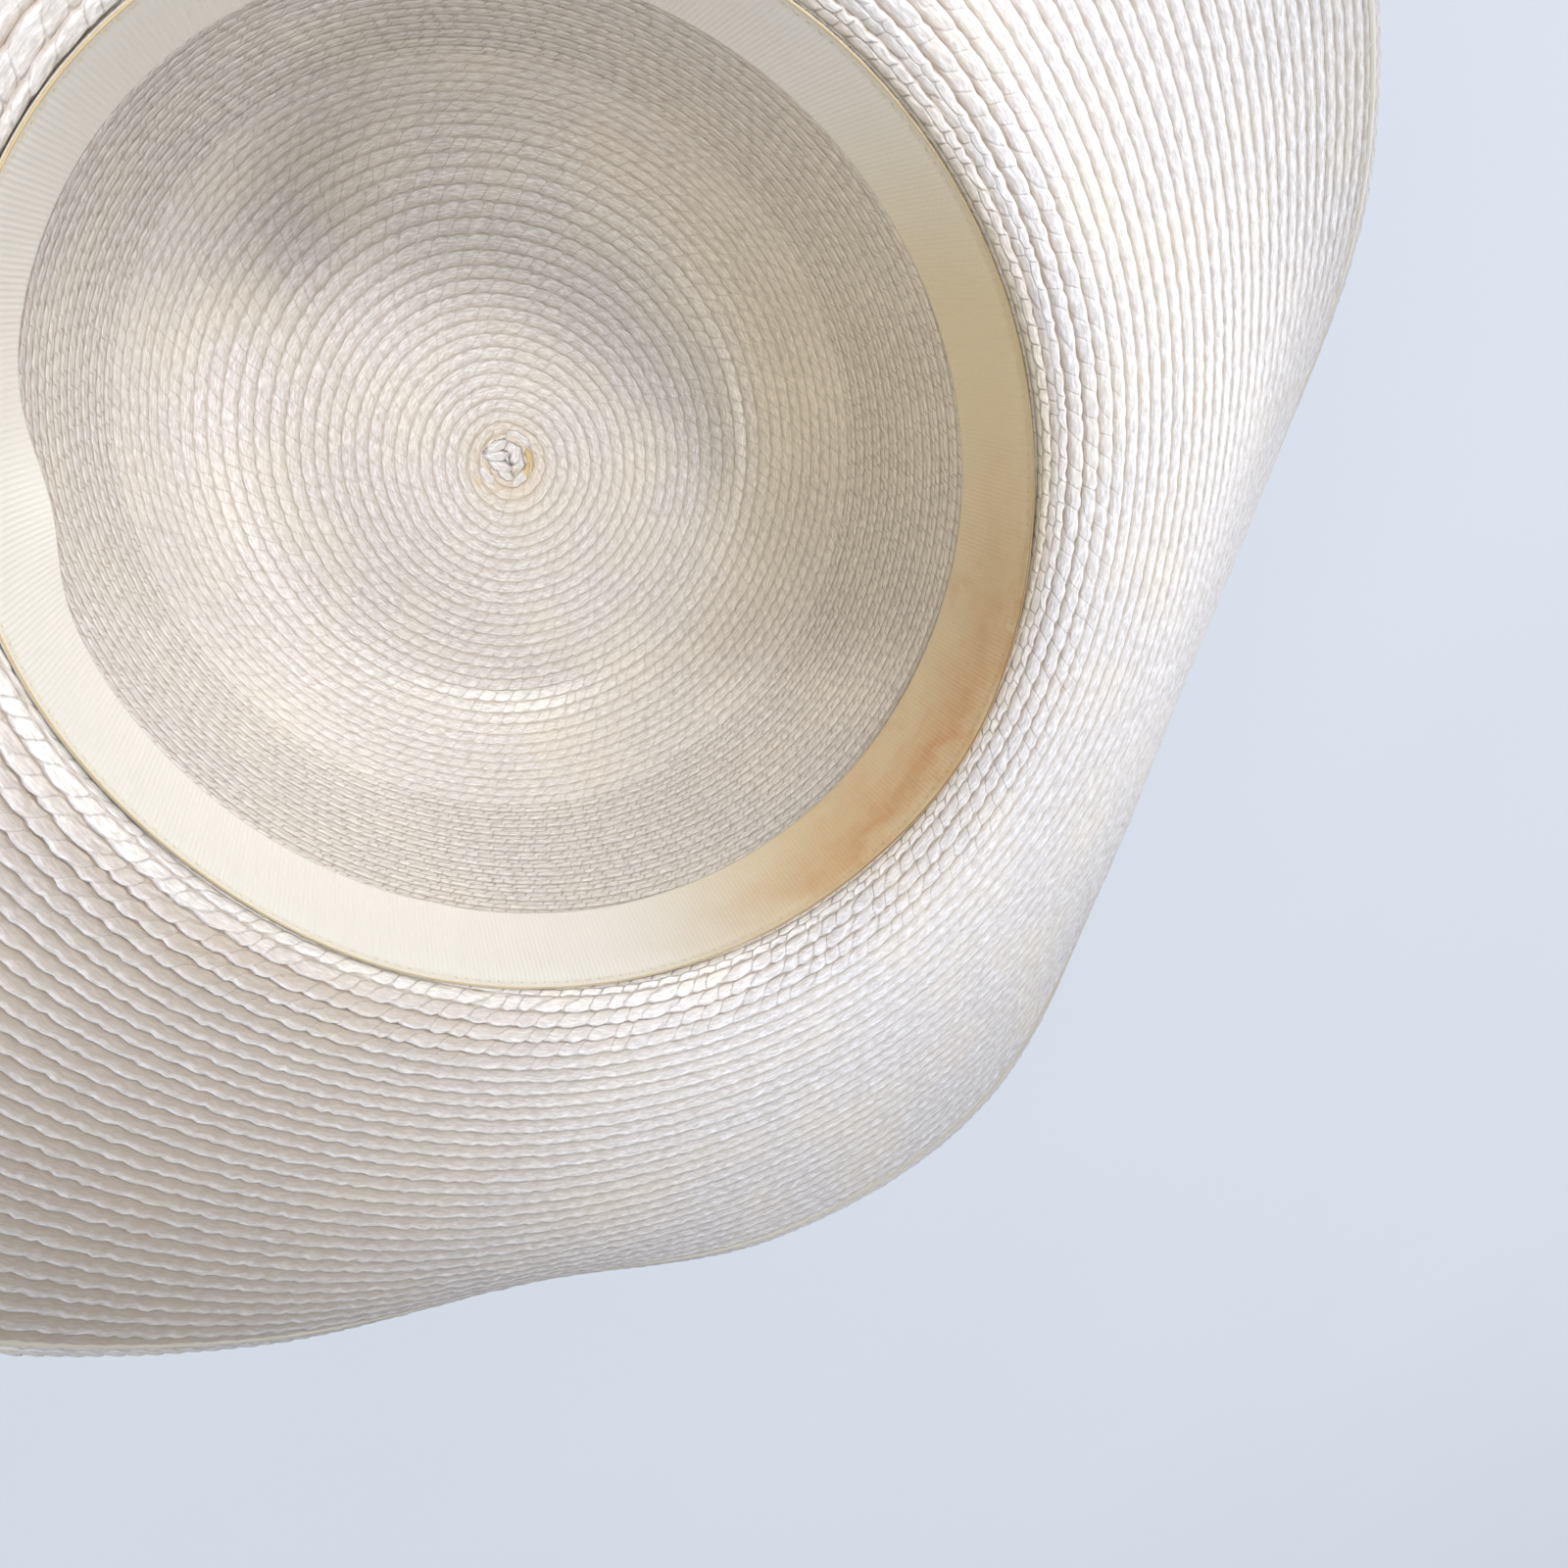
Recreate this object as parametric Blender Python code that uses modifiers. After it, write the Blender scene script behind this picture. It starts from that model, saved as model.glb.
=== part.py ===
"""Wide-brim hat of sewn straw braid, lying crown down: crown and brim in one piece, and the sweatband."""
import math
from collections import namedtuple

import bpy

MM = 0.001

# Driving dimensions
STRAW_WALL = 2.0 * MM          # two lapped layers of braid
OPENING_LONG = 93.9 * MM       # long half axis of the straw wall at the head opening
OPENING_SHORT = 88.7 * MM      # short half axis there
OPENING_MEAN = 91.3 * MM       # radius that the crown rows below are given for
OPENING_TURN = -49.0           # degrees from +X to the long axis, seen from above
OVAL_FULL = 60.0 * MM          # height where the round crown has the whole oval of the opening
LIP_WIDTH = 15.0 * MM          # the bend from crown wall to brim
EDGE_ROUND = 0.6 * MM

BAND_THICK = 1.0 * MM
BAND_GAP = 0.3 * MM            # between the ribbon and the straw wall
BAND_TOP = 99.5 * MM           # height of the sewn edge above the inside of the tip
BAND_WIDTH = 25.5 * MM
BAND_EDGE_ROUND = 0.25 * MM
PUCKER_TURN = 165.0            # degrees from +X to the loose pucker in the ribbon
PUCKER_SPREAD = 8.0            # degrees
PUCKER_DEPTH = 3.6 * MM

SIDES = 72                     # facets round the hat
TIP_RINGS = (28.0 * MM, 46.0 * MM)
BRIM_SHARES = (0.02, 0.05, 0.09, 0.14, 0.2, 0.28, 0.37, 0.46, 0.56, 0.66, 0.76, 0.85, 0.93, 1.0)
BAND_STEPS = 4
RIM_SEGMENTS = 2
RIM_ANGLE = 60.0               # degrees: only the cut edges of a wall are sharper than this

# Crown wall: radius and height above the inside of the tip in mm, from the flat tip up to the head opening
CrownRow = namedtuple("CrownRow", "radius height")
CROWN_ROWS = (
    CrownRow(58.0, 0.0),
    CrownRow(63.0, 1.0),
    CrownRow(68.0, 4.3),
    CrownRow(73.0, 10.0),
    CrownRow(77.0, 18.0),
    CrownRow(80.5, 27.0),
    CrownRow(83.0, 36.0),
    CrownRow(85.0, 46.0),
    CrownRow(86.8, 57.0),
    CrownRow(88.3, 70.0),
    CrownRow(90.0, 86.0),
    CrownRow(91.3, 99.5),
)

# Brim, every 20 degrees, in mm: the rise over the head opening that the lip gives, the whole rise a third of
# the way out, two thirds out and at the edge, and the level reach from the opening to the edge
BrimFold = namedtuple("BrimFold", "turn lip inner outer edge reach")
BRIM_FOLDS = (
    BrimFold(0, 4.8, 3.0, -5.1, -24.4, 85.7),
    BrimFold(20, 4.3, 2.2, -4.1, -9.5, 92.4),
    BrimFold(40, 4.8, 0.8, -1.1, -3.4, 93.3),
    BrimFold(60, 5.0, 2.5, 1.0, 0.0, 93.0),
    BrimFold(80, 5.0, 4.0, 3.0, 2.0, 92.8),
    BrimFold(100, 5.0, 4.5, 3.0, -1.0, 92.6),
    BrimFold(120, 5.0, 4.0, 1.0, -6.0, 92.0),
    BrimFold(140, 5.0, 3.5, 1.0, -3.0, 92.2),
    BrimFold(160, 5.0, 3.0, 3.0, 4.0, 92.8),
    BrimFold(180, 4.9, 3.5, 5.5, 10.7, 92.8),
    BrimFold(200, 5.3, 2.1, 4.7, 12.9, 92.2),
    BrimFold(220, 5.6, 3.3, 5.2, 12.2, 92.3),
    BrimFold(240, 6.7, 5.1, 6.5, 3.5, 92.2),
    BrimFold(260, 5.2, 6.3, 7.2, -5.1, 89.7),
    BrimFold(280, 3.1, 8.0, 7.4, 2.9, 92.6),
    BrimFold(300, 4.2, 8.9, 5.7, 0.9, 92.0),
    BrimFold(320, 5.3, 7.1, 0.3, -18.0, 85.4),
    BrimFold(340, 5.0, 5.2, -3.5, -30.0, 79.9),
)

# Ribbon: how far its sewn edge and its free edge stray from level, in mm, every 30 degrees
RibbonWave = namedtuple("RibbonWave", "turn sewn free")
RIBBON_WAVES = (
    RibbonWave(0, -0.9, 0.0),
    RibbonWave(30, -0.4, 0.3),
    RibbonWave(60, 0.3, 0.0),
    RibbonWave(90, 0.0, -0.4),
    RibbonWave(120, 0.4, 0.2),
    RibbonWave(150, 0.0, -0.3),
    RibbonWave(180, 0.4, -0.6),
    RibbonWave(210, -1.2, 0.2),
    RibbonWave(240, 0.4, 0.0),
    RibbonWave(270, 0.3, 0.0),
    RibbonWave(300, 0.2, -0.8),
    RibbonWave(330, 1.1, -1.2),
)


def round_table(rows, column, turn):
    """Smooth value of one table column at a turn in degrees, the rows being evenly spaced round the hat."""
    step = 360.0 / len(rows)
    place = (turn % 360.0) / step
    first = int(place) % len(rows)
    t = place - int(place)
    p0, p1, p2, p3 = (getattr(rows[(first + shift) % len(rows)], column) for shift in (-1, 0, 1, 2))
    slope1 = (p2 - p0) / 2
    slope2 = (p3 - p1) / 2
    return (
        (2 * t**3 - 3 * t**2 + 1) * p1
        + (t**3 - 2 * t**2 + t) * slope1
        + (3 * t**2 - 2 * t**3) * p2
        + (t**3 - t**2) * slope2
    )


def curve_through(values, share):
    """Value at a share from 0 to 1 of the one polynomial through evenly spaced values."""
    places = [index / (len(values) - 1) for index in range(len(values))]
    total = 0.0
    for place, value in zip(places, values):
        weight = 1.0
        for other in places:
            if other != place:
                weight *= (share - other) / (place - other)
        total += weight * value
    return total


def opening_radius(turn):
    """Straw wall's inner radius at the head opening."""
    angle = math.radians(turn - OPENING_TURN)
    return 1 / math.hypot(math.cos(angle) / OPENING_LONG, math.sin(angle) / OPENING_SHORT)


def oval_factor(turn, height):
    """How far the crown has gone from the round tip to the oval opening, as a factor on its radius."""
    share = min(height / OVAL_FULL, 1.0)
    return 1 + share * (opening_radius(turn) / OPENING_MEAN - 1)


def wall_radius(turn, height):
    """Straw wall's inner radius at a height above the inside of the tip."""
    for low, high in zip(CROWN_ROWS, CROWN_ROWS[1:]):
        if height <= high.height * MM:
            break
    share = (height - low.height * MM) / ((high.height - low.height) * MM)
    return (low.radius + share * (high.radius - low.radius)) * MM * oval_factor(turn, height)


def ring_point(turn, radius, height):
    """A point of the hat from its turn in degrees, radius and height above the inside of the tip."""
    angle = math.radians(turn)
    return (radius * math.cos(angle), radius * math.sin(angle), height + STRAW_WALL)


def brim_point(turn, share):
    """A point of the brim; share runs from 0 at the head opening to 1 at the edge."""
    lip, inner, outer, edge, reach = (
        round_table(BRIM_FOLDS, column, turn) for column in ("lip", "inner", "outer", "edge", "reach")
    )
    out = share * reach * MM
    bend = 1 - (1 - min(out / LIP_WIDTH, 1.0)) ** 2
    rise = lip * bend + curve_through((0.0, inner - lip, outer - lip, edge - lip), share)
    return ring_point(turn, opening_radius(turn) + out, (CROWN_ROWS[-1].height + rise) * MM)


def lofted_mesh(name, rings, cap_first):
    """An open surface through rings of points, each running once round the hat."""
    points = [point for ring in rings for point in ring]
    faces = []
    if cap_first:
        faces.append(tuple(range(SIDES)))
    for row in range(len(rings) - 1):
        for side in range(SIDES):
            after = (side + 1) % SIDES
            inner = row * SIDES
            outer = inner + SIDES
            faces.append((inner + side, outer + side, outer + after, inner + after))
    mesh = bpy.data.meshes.new(name)
    mesh.from_pydata(points, [], faces)
    mesh.validate()
    mesh.shade_smooth()
    return mesh


def material(name, colour, roughness):
    """A plain Principled BSDF material, its colour in linear RGB."""
    made = bpy.data.materials.new(name)
    made.use_nodes = True
    shader = made.node_tree.nodes["Principled BSDF"]
    shader.inputs["Base Color"].default_value = (*colour, 1.0)
    shader.inputs["Roughness"].default_value = roughness
    shader.inputs["Metallic"].default_value = 0.0
    return made


def ivory_straw():
    """Bleached straw with a satin sheen."""
    return material("ivory_straw", (0.76, 0.72, 0.64), 0.45)


def ivory_ribbon():
    """Ribbed ribbon, creamier and duller than the straw."""
    return material("ivory_ribbon", (0.61, 0.54, 0.42), 0.7)


def shell_object(mesh, collection, thickness, edge_round, made_of):
    """A wall grown from an open surface, away from the hollow of the hat, with softened rims."""
    shell = bpy.data.objects.new(mesh.name, mesh)
    collection.objects.link(shell)
    mesh.materials.append(made_of)
    solidify = shell.modifiers.new("Wall", "SOLIDIFY")
    solidify.thickness = thickness
    solidify.offset = -1.0
    solidify.use_even_offset = True
    solidify.use_quality_normals = True
    bevel = shell.modifiers.new("Rim", "BEVEL")
    bevel.width = edge_round
    bevel.segments = RIM_SEGMENTS
    bevel.limit_method = "ANGLE"
    bevel.angle_limit = math.radians(RIM_ANGLE)
    return shell


def build_straw_body(collection):
    """Crown and brim: flat round tip, bend, oval wall, lip and waved brim."""
    turns = [360.0 * side / SIDES for side in range(SIDES)]
    rings = [[ring_point(turn, radius, 0.0) for turn in turns] for radius in TIP_RINGS]
    for row in CROWN_ROWS:
        height = row.height * MM
        rings.append([ring_point(turn, row.radius * MM * oval_factor(turn, height), height) for turn in turns])
    rings += [[brim_point(turn, share) for turn in turns] for share in BRIM_SHARES]
    mesh = lofted_mesh("straw_body", rings, cap_first=True)
    return shell_object(mesh, collection, STRAW_WALL, EDGE_ROUND, ivory_straw())


def pucker(turn, share):
    """How far the loose free edge of the ribbon stands in from the wall; share is 0 there, 1 at the sewn edge."""
    away = (turn - PUCKER_TURN + 180.0) % 360.0 - 180.0
    return PUCKER_DEPTH * math.exp(-((away / PUCKER_SPREAD) ** 2)) * (1 - share) ** 2


def band_point(turn, share):
    """A point of the ribbon's inner face; share runs from 0 at the free edge to 1 at the sewn edge."""
    free = BAND_TOP - BAND_WIDTH + round_table(RIBBON_WAVES, "free", turn) * MM
    sewn = BAND_TOP + round_table(RIBBON_WAVES, "sewn", turn) * MM
    height = free + share * (sewn - free)
    radius = wall_radius(turn, min(height, BAND_TOP)) - BAND_GAP - BAND_THICK - pucker(turn, share)
    return ring_point(turn, radius, height)


def build_sweatband(collection):
    """Ribbon ring inside the head opening, its back a gap in from the straw wall."""
    turns = [360.0 * side / SIDES for side in range(SIDES)]
    rings = [[band_point(turn, step / BAND_STEPS) for turn in turns] for step in range(BAND_STEPS + 1)]
    mesh = lofted_mesh("sweatband", rings, cap_first=False)
    return shell_object(mesh, collection, BAND_THICK, BAND_EDGE_ROUND, ivory_ribbon())


def build():
    """Clear the scene and build the hat."""
    for old in list(bpy.data.objects):
        bpy.data.objects.remove(old, do_unlink=True)
    hat = bpy.data.collections.new("wide_brim_hat")
    bpy.context.scene.collection.children.link(hat)
    build_straw_body(hat)
    build_sweatband(hat)


build()
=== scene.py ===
import math
from functools import partial

import bpy
import numpy as np
from mathutils import Matrix, Vector


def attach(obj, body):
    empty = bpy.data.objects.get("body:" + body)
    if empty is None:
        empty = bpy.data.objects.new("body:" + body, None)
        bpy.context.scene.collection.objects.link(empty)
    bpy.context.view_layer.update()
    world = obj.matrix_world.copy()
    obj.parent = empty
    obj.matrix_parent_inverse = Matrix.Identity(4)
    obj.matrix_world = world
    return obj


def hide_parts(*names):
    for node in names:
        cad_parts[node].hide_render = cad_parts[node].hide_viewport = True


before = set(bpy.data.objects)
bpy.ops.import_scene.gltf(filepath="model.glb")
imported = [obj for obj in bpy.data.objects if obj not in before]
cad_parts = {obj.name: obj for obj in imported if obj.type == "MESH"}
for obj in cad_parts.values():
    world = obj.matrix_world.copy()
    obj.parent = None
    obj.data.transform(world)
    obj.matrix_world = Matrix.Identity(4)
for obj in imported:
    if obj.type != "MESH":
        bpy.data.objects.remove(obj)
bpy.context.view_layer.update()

print("frame loaded:", ", ".join(sorted(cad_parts)))
mm = 0.001

# Shape of the straw: the sizes and tables that the solid is made from, in mm and degrees
hat = {
    "strawWall": 2.0,
    "openingLong": 93.9,    # half the oval head opening, the long way
    "openingShort": 88.7,
    "openingMean": 91.3,
    "openingTurn": -49.0,   # where the long way points
    "ovalFull": 60.0,       # height above the tip at which the crown is fully oval
    "lipWidth": 15.0,
    "crownHeight": 99.5,
}
# radius and height above the inside of the tip
crownRows = np.array([
    (0.0, 0.0), (20.0, 0.0), (40.0, 0.0), (52.0, 0.0), (58.0, 0.0), (63.0, 1.0), (68.0, 4.3), (73.0, 10.0),
    (77.0, 18.0), (80.5, 27.0), (83.0, 36.0), (85.0, 46.0), (86.8, 57.0), (88.3, 70.0), (90.0, 86.0),
    (91.3, 99.5),
])
# every 20 degrees: rise of the lip, rise a third out, two thirds out and at the edge, and level reach
brimFolds = {
    "lip": (4.8, 4.3, 4.8, 5.0, 5.0, 5.0, 5.0, 5.0, 5.0, 4.9, 5.3, 5.6, 6.7, 5.2, 3.1, 4.2, 5.3, 5.0),
    "inner": (3.0, 2.2, 0.8, 2.5, 4.0, 4.5, 4.0, 3.5, 3.0, 3.5, 2.1, 3.3, 5.1, 6.3, 8.0, 8.9, 7.1, 5.2),
    "outer": (-5.1, -4.1, -1.1, 1.0, 3.0, 3.0, 1.0, 1.0, 3.0, 5.5, 4.7, 5.2, 6.5, 7.2, 7.4, 5.7, 0.3, -3.5),
    "edge": (-24.4, -9.5, -3.4, 0.0, 2.0, -1.0, -6.0, -3.0, 4.0, 10.7, 12.9, 12.2, 3.5, -5.1, 2.9, 0.9,
             -18.0, -30.0),
    "reach": (85.7, 92.4, 93.3, 93.0, 92.8, 92.6, 92.0, 92.2, 92.8, 92.8, 92.2, 92.3, 92.2, 89.7, 92.6, 92.0,
              85.4, 79.9),
}


def cubic(t, start, startSlope, end, endSlope):
    # smooth curve between two values that leaves and arrives with the given slopes
    return (
        (2 * t**3 - 3 * t**2 + 1) * start
        + (t**3 - 2 * t**2 + t) * startSlope
        + (3 * t**2 - 2 * t**3) * end
        + (t**3 - t**2) * endSlope
    )


def ramp(values, low, high):
    t = np.clip((values - low) / (high - low), 0, 1)
    return t * t * (3 - 2 * t)


def bell(turn, middle, spread):
    # 1 at the middle turn, fading on both sides
    away = (turn - middle + 180.0) % 360.0 - 180.0
    return np.exp(-((away / spread) ** 2))


def unit(vectors):
    return vectors / np.maximum(np.linalg.norm(vectors, axis=-1, keepdims=True), 1e-12)


def roundTable(values, turn):
    # smooth value of an evenly spaced table that runs once round the hat
    values = np.asarray(values, float)
    place = (np.asarray(turn, float) % 360.0) * len(values) / 360.0
    first = np.floor(place).astype(int) % len(values)
    before, start, end, after = (values[(first + shift) % len(values)] for shift in (-1, 0, 1, 2))
    return cubic(place - np.floor(place), start, (end - before) / 2, end, (after - start) / 2)


def crownProfile(stepsPerRow=24):
    # smooth line through the crown's rows, as radius and height, and the distance along it
    chord = np.hypot(*np.diff(crownRows, axis=0).T)
    secant = np.diff(crownRows, axis=0) / chord[:, None]
    slope = np.empty_like(crownRows)
    slope[0], slope[-1] = secant[0], secant[-1]
    before, after = chord[:-1, None], chord[1:, None]
    slope[1:-1] = (after * secant[:-1] + before * secant[1:]) / (before + after)
    t = np.linspace(0, 1, stepsPerRow, endpoint=False)[:, None]
    points = [
        cubic(t, crownRows[row], size * slope[row], crownRows[row + 1], size * slope[row + 1])
        for row, size in enumerate(chord)]
    points = np.vstack(points + [crownRows[-1:]])
    distance = np.concatenate([[0.0], np.cumsum(np.hypot(*np.diff(points, axis=0).T))])
    return points, distance


def ovalFactor(turn, height):
    angle = np.radians(turn - hat["openingTurn"])
    opening = 1 / np.hypot(np.cos(angle) / hat["openingLong"], np.sin(angle) / hat["openingShort"])
    return 1 + np.minimum(height / hat["ovalFull"], 1.0) * (opening / hat["openingMean"] - 1)


def ringPoint(turn, radius, height):
    angle = np.radians(turn)
    return np.stack([radius * np.cos(angle), radius * np.sin(angle), height + hat["strawWall"]], -1)


def brimPoint(turn, share):
    # share is 0 at the head opening and 1 at the edge
    lip, inner, outer, edge, reach = (roundTable(values, turn) for values in brimFolds.values())
    out = share * reach
    rise = lip * (1 - (1 - np.minimum(out / hat["lipWidth"], 1.0)) ** 2)
    # cubic through the rises a third out, two thirds out and at the edge
    rise = rise + 13.5 * share * (share - 2 / 3) * (share - 1) * (inner - lip)
    rise = rise - 13.5 * share * (share - 1 / 3) * (share - 1) * (outer - lip)
    rise = rise + 4.5 * share * (share - 1 / 3) * (share - 2 / 3) * (edge - lip)
    radius = hat["openingMean"] * ovalFactor(turn, hat["ovalFull"]) + out
    return ringPoint(turn, radius, hat["crownHeight"] + rise)


profile, profileDistance = crownProfile()
crownLength = profileDistance[-1]
# tables that turn a distance across the brim, in mm, into a share of its reach
gridStep = 0.25
gridTurns = np.arange(361.0)
gridShares = np.linspace(0, 1.03, 413)
gridPoints = brimPoint(gridTurns[:, None], gridShares)
gridDistance = np.cumsum(np.linalg.norm(np.diff(gridPoints, axis=1), axis=2), axis=1)
gridDistance = np.hstack([np.zeros((len(gridTurns), 1)), gridDistance])
gridSteps = np.arange(0, 101, gridStep)
shareTable = np.array([np.interp(gridSteps, line, gridShares) for line in gridDistance])
brimWidths = np.array([np.interp(1.0, gridShares, line) for line in gridDistance])


def brimWidth(turn):
    return np.interp(np.asarray(turn) % 360.0, gridTurns, brimWidths)


def edgeDistance(turn, inset):
    # distance from the tip's middle to a line so far inside the brim's edge
    return crownLength + brimWidth(turn) - inset


def brimShare(turn, distance):
    place = np.asarray(turn) % 360.0
    step = np.clip(distance / gridStep, 0, len(gridSteps) - 1.001)
    a, b = np.floor(place).astype(int), np.floor(step).astype(int)
    fa, fb = place - a, step - b
    return (
        shareTable[a, b] * (1 - fa) * (1 - fb)
        + shareTable[a + 1, b] * fa * (1 - fb)
        + shareTable[a, b + 1] * (1 - fa) * fb
        + shareTable[a + 1, b + 1] * fa * fb
    )


def hatPoint(turn, distance):
    # point of the straw's inner face, in mm, from its turn and its distance from the tip's middle
    turn, distance = np.broadcast_arrays(np.asarray(turn, float), np.asarray(distance, float))
    onCrown = np.clip(distance, -5, crownLength)
    radius = np.interp(onCrown, profileDistance, profile[:, 0])
    height = np.interp(onCrown, profileDistance, profile[:, 1])
    crown = ringPoint(turn, radius * ovalFactor(turn, height), height)
    brim = brimPoint(turn, brimShare(turn, np.maximum(distance - crownLength, 0)))
    return np.where((distance < crownLength)[..., None], crown, brim)


def facingAt(turn, distance, step=0.6):
    # unit normal of the inner face, towards the hollow, from points a step away in mm and degrees
    acrossStep = hatPoint(turn, distance + step) - hatPoint(turn, np.maximum(distance - step, 0.01))
    turnStep = hatPoint(turn + step, distance) - hatPoint(turn - step, distance)
    return unit(np.cross(acrossStep, turnStep))


def liftedPoint(turn, distance, lift):
    # point of the inner face, moved towards the hollow
    return hatPoint(turn, distance) + facingAt(turn, distance) * np.asarray(lift)[..., None]


def inwardsAt(points):
    # level directions towards the hat's middle
    return -unit(points * np.array([1.0, 1.0, 0.0]))


# Rows: one braid sewn in a spiral from the tip's middle to the brim's edge
braid = {
    "firstRow": 0.7,
    "tipRows": 16,
    "tipPitch": 2.95,       # mm from row to row on the flat tip
    "crownRows": 54,
    "brimPitch": 3.132,     # mm from row to row on the brim
    "brimRows": 29,
    "startTurn": 290.0,     # degrees: where a row's number is whole
    "endTurn": 110.0,       # degrees: where the braid runs out at the brim's edge
    "edgeBare": 1.5,        # mm between the last row and the brim's edge
    "strayFrom": 5.0,       # row number from which the tip's rows stray fully
    "strayEnd": 34.0,       # row number from which they no longer do
    "strayFade": 16.0,      # rows over which it fades before that
    "edgePower": 6,         # how late the brim's rows take up the shape of its edge
    "narrowest": 1.0,       # mm that a row's pitch is kept between
    "widest": 4.6,
    "samplesPerRow": 720,
    "seed": 11,
}
# how far the rows stray outwards, every 20 degrees, on the brim and on the flat tip
rowWander = (3.5, 4.4, 4.9, 4.7, 3.9, 2.5, 0.8, -0.9, -1.9, -2.2, -2.0, -1.2, -0.4, 1.2, 2.3, 2.6, 2.4, 2.6)
tipWander = (-0.2, -0.4, -0.75, -1.15, -1.15, -0.95, -1.3, -1.55, -1.7, -1.55, -1.1, -0.1, 0.75, 1.6, 1.35,
             1.0, 0.5, 0.25)
# how long a loop of straw is at some row numbers
loopLengths = {"rows": (0.0, 8.0, 30.0, 35.0, 51.0, 56.0, 95.0), "mm": (3.9, 4.3, 4.1, 3.5, 3.5, 4.9, 5.0)}
braidEnd = braid["crownRows"] + braid["brimRows"] + 0.5


def rowDistance(row):
    # turn, and distance from the tip's middle, of the outer edge of the braid at a row number
    turn = 360.0 * row + braid["startTurn"]
    wander = roundTable(rowWander, turn)
    openingRow = braid["crownRows"] - wander / braid["brimPitch"]
    tipWidth = braid["tipRows"] * braid["tipPitch"]
    onTip = braid["tipPitch"] * row
    onWall = tipWidth + (crownLength - tipWidth) * (row - braid["tipRows"]) / (openingRow - braid["tipRows"])
    stray = np.clip(row / braid["strayFrom"], 0, 1)
    stray = stray * np.clip((braid["strayEnd"] - row) / braid["strayFade"], 0, 1)
    crown = np.where(row < braid["tipRows"], onTip, onWall) + stray * roundTable(tipWander, turn)
    rows = row - braid["crownRows"]
    edgeRow = braid["brimRows"] + ((turn - braid["endTurn"]) % 360.0 - 180.0) / 360.0
    stretch = brimWidth(turn) - braid["edgeBare"] - (wander + braid["brimPitch"] * edgeRow)
    stretch = stretch * np.clip(rows / edgeRow, 0, 1.1) ** braid["edgePower"]
    brim = wander + braid["brimPitch"] * rows + stretch
    return turn, np.where(row < openingRow, crown, crownLength + brim)


def braidStations(firstRow, lastRow, stepMm):
    # places along the spiral, evenly spaced: row number, turn, outer edge, pitch, mm run and loops so far
    rows = np.arange(braid["firstRow"], braidEnd, 1 / braid["samplesPerRow"])
    runs = np.linalg.norm(np.diff(hatPoint(*rowDistance(rows)), axis=0), axis=1)
    runs = np.concatenate([[0.0], np.cumsum(runs)])
    run = np.linspace(0, runs[-1], int(runs[-1] / stepMm) + 1)
    row = np.interp(run, runs, rows)
    loops = np.cumsum(run[1] / np.interp(row, loopLengths["rows"], loopLengths["mm"]))
    # two pieces that meet at a row share one station
    first, last = np.searchsorted(row, firstRow), min(np.searchsorted(row, lastRow), len(row) - 1)
    row, run, loops = (values[first:last + 1] for values in (row, run, loops))
    turn, edge = rowDistance(row)
    pitch = np.clip(edge - rowDistance(np.maximum(row - 1, 0.0))[1], braid["narrowest"], braid["widest"])
    return row, turn, edge, pitch, run, loops


# Small tools
def linear(hexColour):
    # sRGB hex to linear RGBA
    parts = [int(hexColour[place:place + 2], 16) / 255 for place in (1, 3, 5)]
    return tuple(p / 12.92 if p <= 0.04045 else ((p + 0.055) / 1.055) ** 2.4 for p in parts) + (1.0,)


def addNode(tree, kind, sockets=(), operation=None, **settings):
    # adds one node, a shader node where its kind doesn't say otherwise; its inputs come in order, or by name
    # or number, each as a value, an output, or a node for its first output in use
    named = kind.startswith(("Geometry", "Function", "NodeGroup"))
    node = tree.nodes.new(kind if named else "ShaderNode" + kind)
    if operation:
        node.operation = operation
    for name, value in settings.items():
        setattr(node, name, value)
    for name, value in sockets.items() if isinstance(sockets, dict) else enumerate(sockets):
        if isinstance(value, bpy.types.Node):
            value = next(output for output in value.outputs if output.enabled)
        if isinstance(value, bpy.types.NodeSocket):
            tree.links.new(value, node.inputs[name])
        else:
            node.inputs[name].default_value = value
    return node


def newMaterial(name):
    # an empty material, and what adds a node to it
    made = bpy.data.materials.new(name)
    made.use_nodes = True
    made.node_tree.nodes.clear()
    return made, partial(addNode, made.node_tree)


def newTree(name, numbers, carried, others=None):
    # a Geometry Nodes tree with its inputs' identifiers, what adds a node to it, its inputs, and the named
    # values that its points carry
    tree = bpy.data.node_groups.new(name, "GeometryNodeTree")
    add = partial(addNode, tree)
    kinds = {"Geometry": "NodeSocketGeometry", "Material": "NodeSocketMaterial", **(others or {})}
    for label, value in numbers.items():
        kinds[label] = "NodeSocketInt" if isinstance(value, int) else "NodeSocketFloat"
    sockets = {}
    for label, kind in kinds.items():
        made = tree.interface.new_socket(label, in_out="INPUT", socket_type=kind)
        if label in numbers:
            made.default_value = numbers[label]
        sockets[label] = made.identifier
    tree.interface.new_socket("Geometry", in_out="OUTPUT", socket_type="NodeSocketGeometry")
    named = {}
    for kind, labels in carried.items():
        for label in labels:
            named[label] = add("GeometryNodeInputNamedAttribute", {"Name": label}, data_type=kind)
    return (tree, sockets), add, add("NodeGroupInput").outputs, named


def endTree(add, geometry, material):
    real = add("GeometryNodeRealizeInstances", [geometry])
    painted = add("GeometryNodeSetMaterial", {"Geometry": real, "Material": material})
    add("NodeGroupOutput", [painted])


def newObject(name, mesh):
    made = bpy.data.objects.new(name, mesh)
    bpy.context.scene.collection.objects.link(made)
    return made


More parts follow.
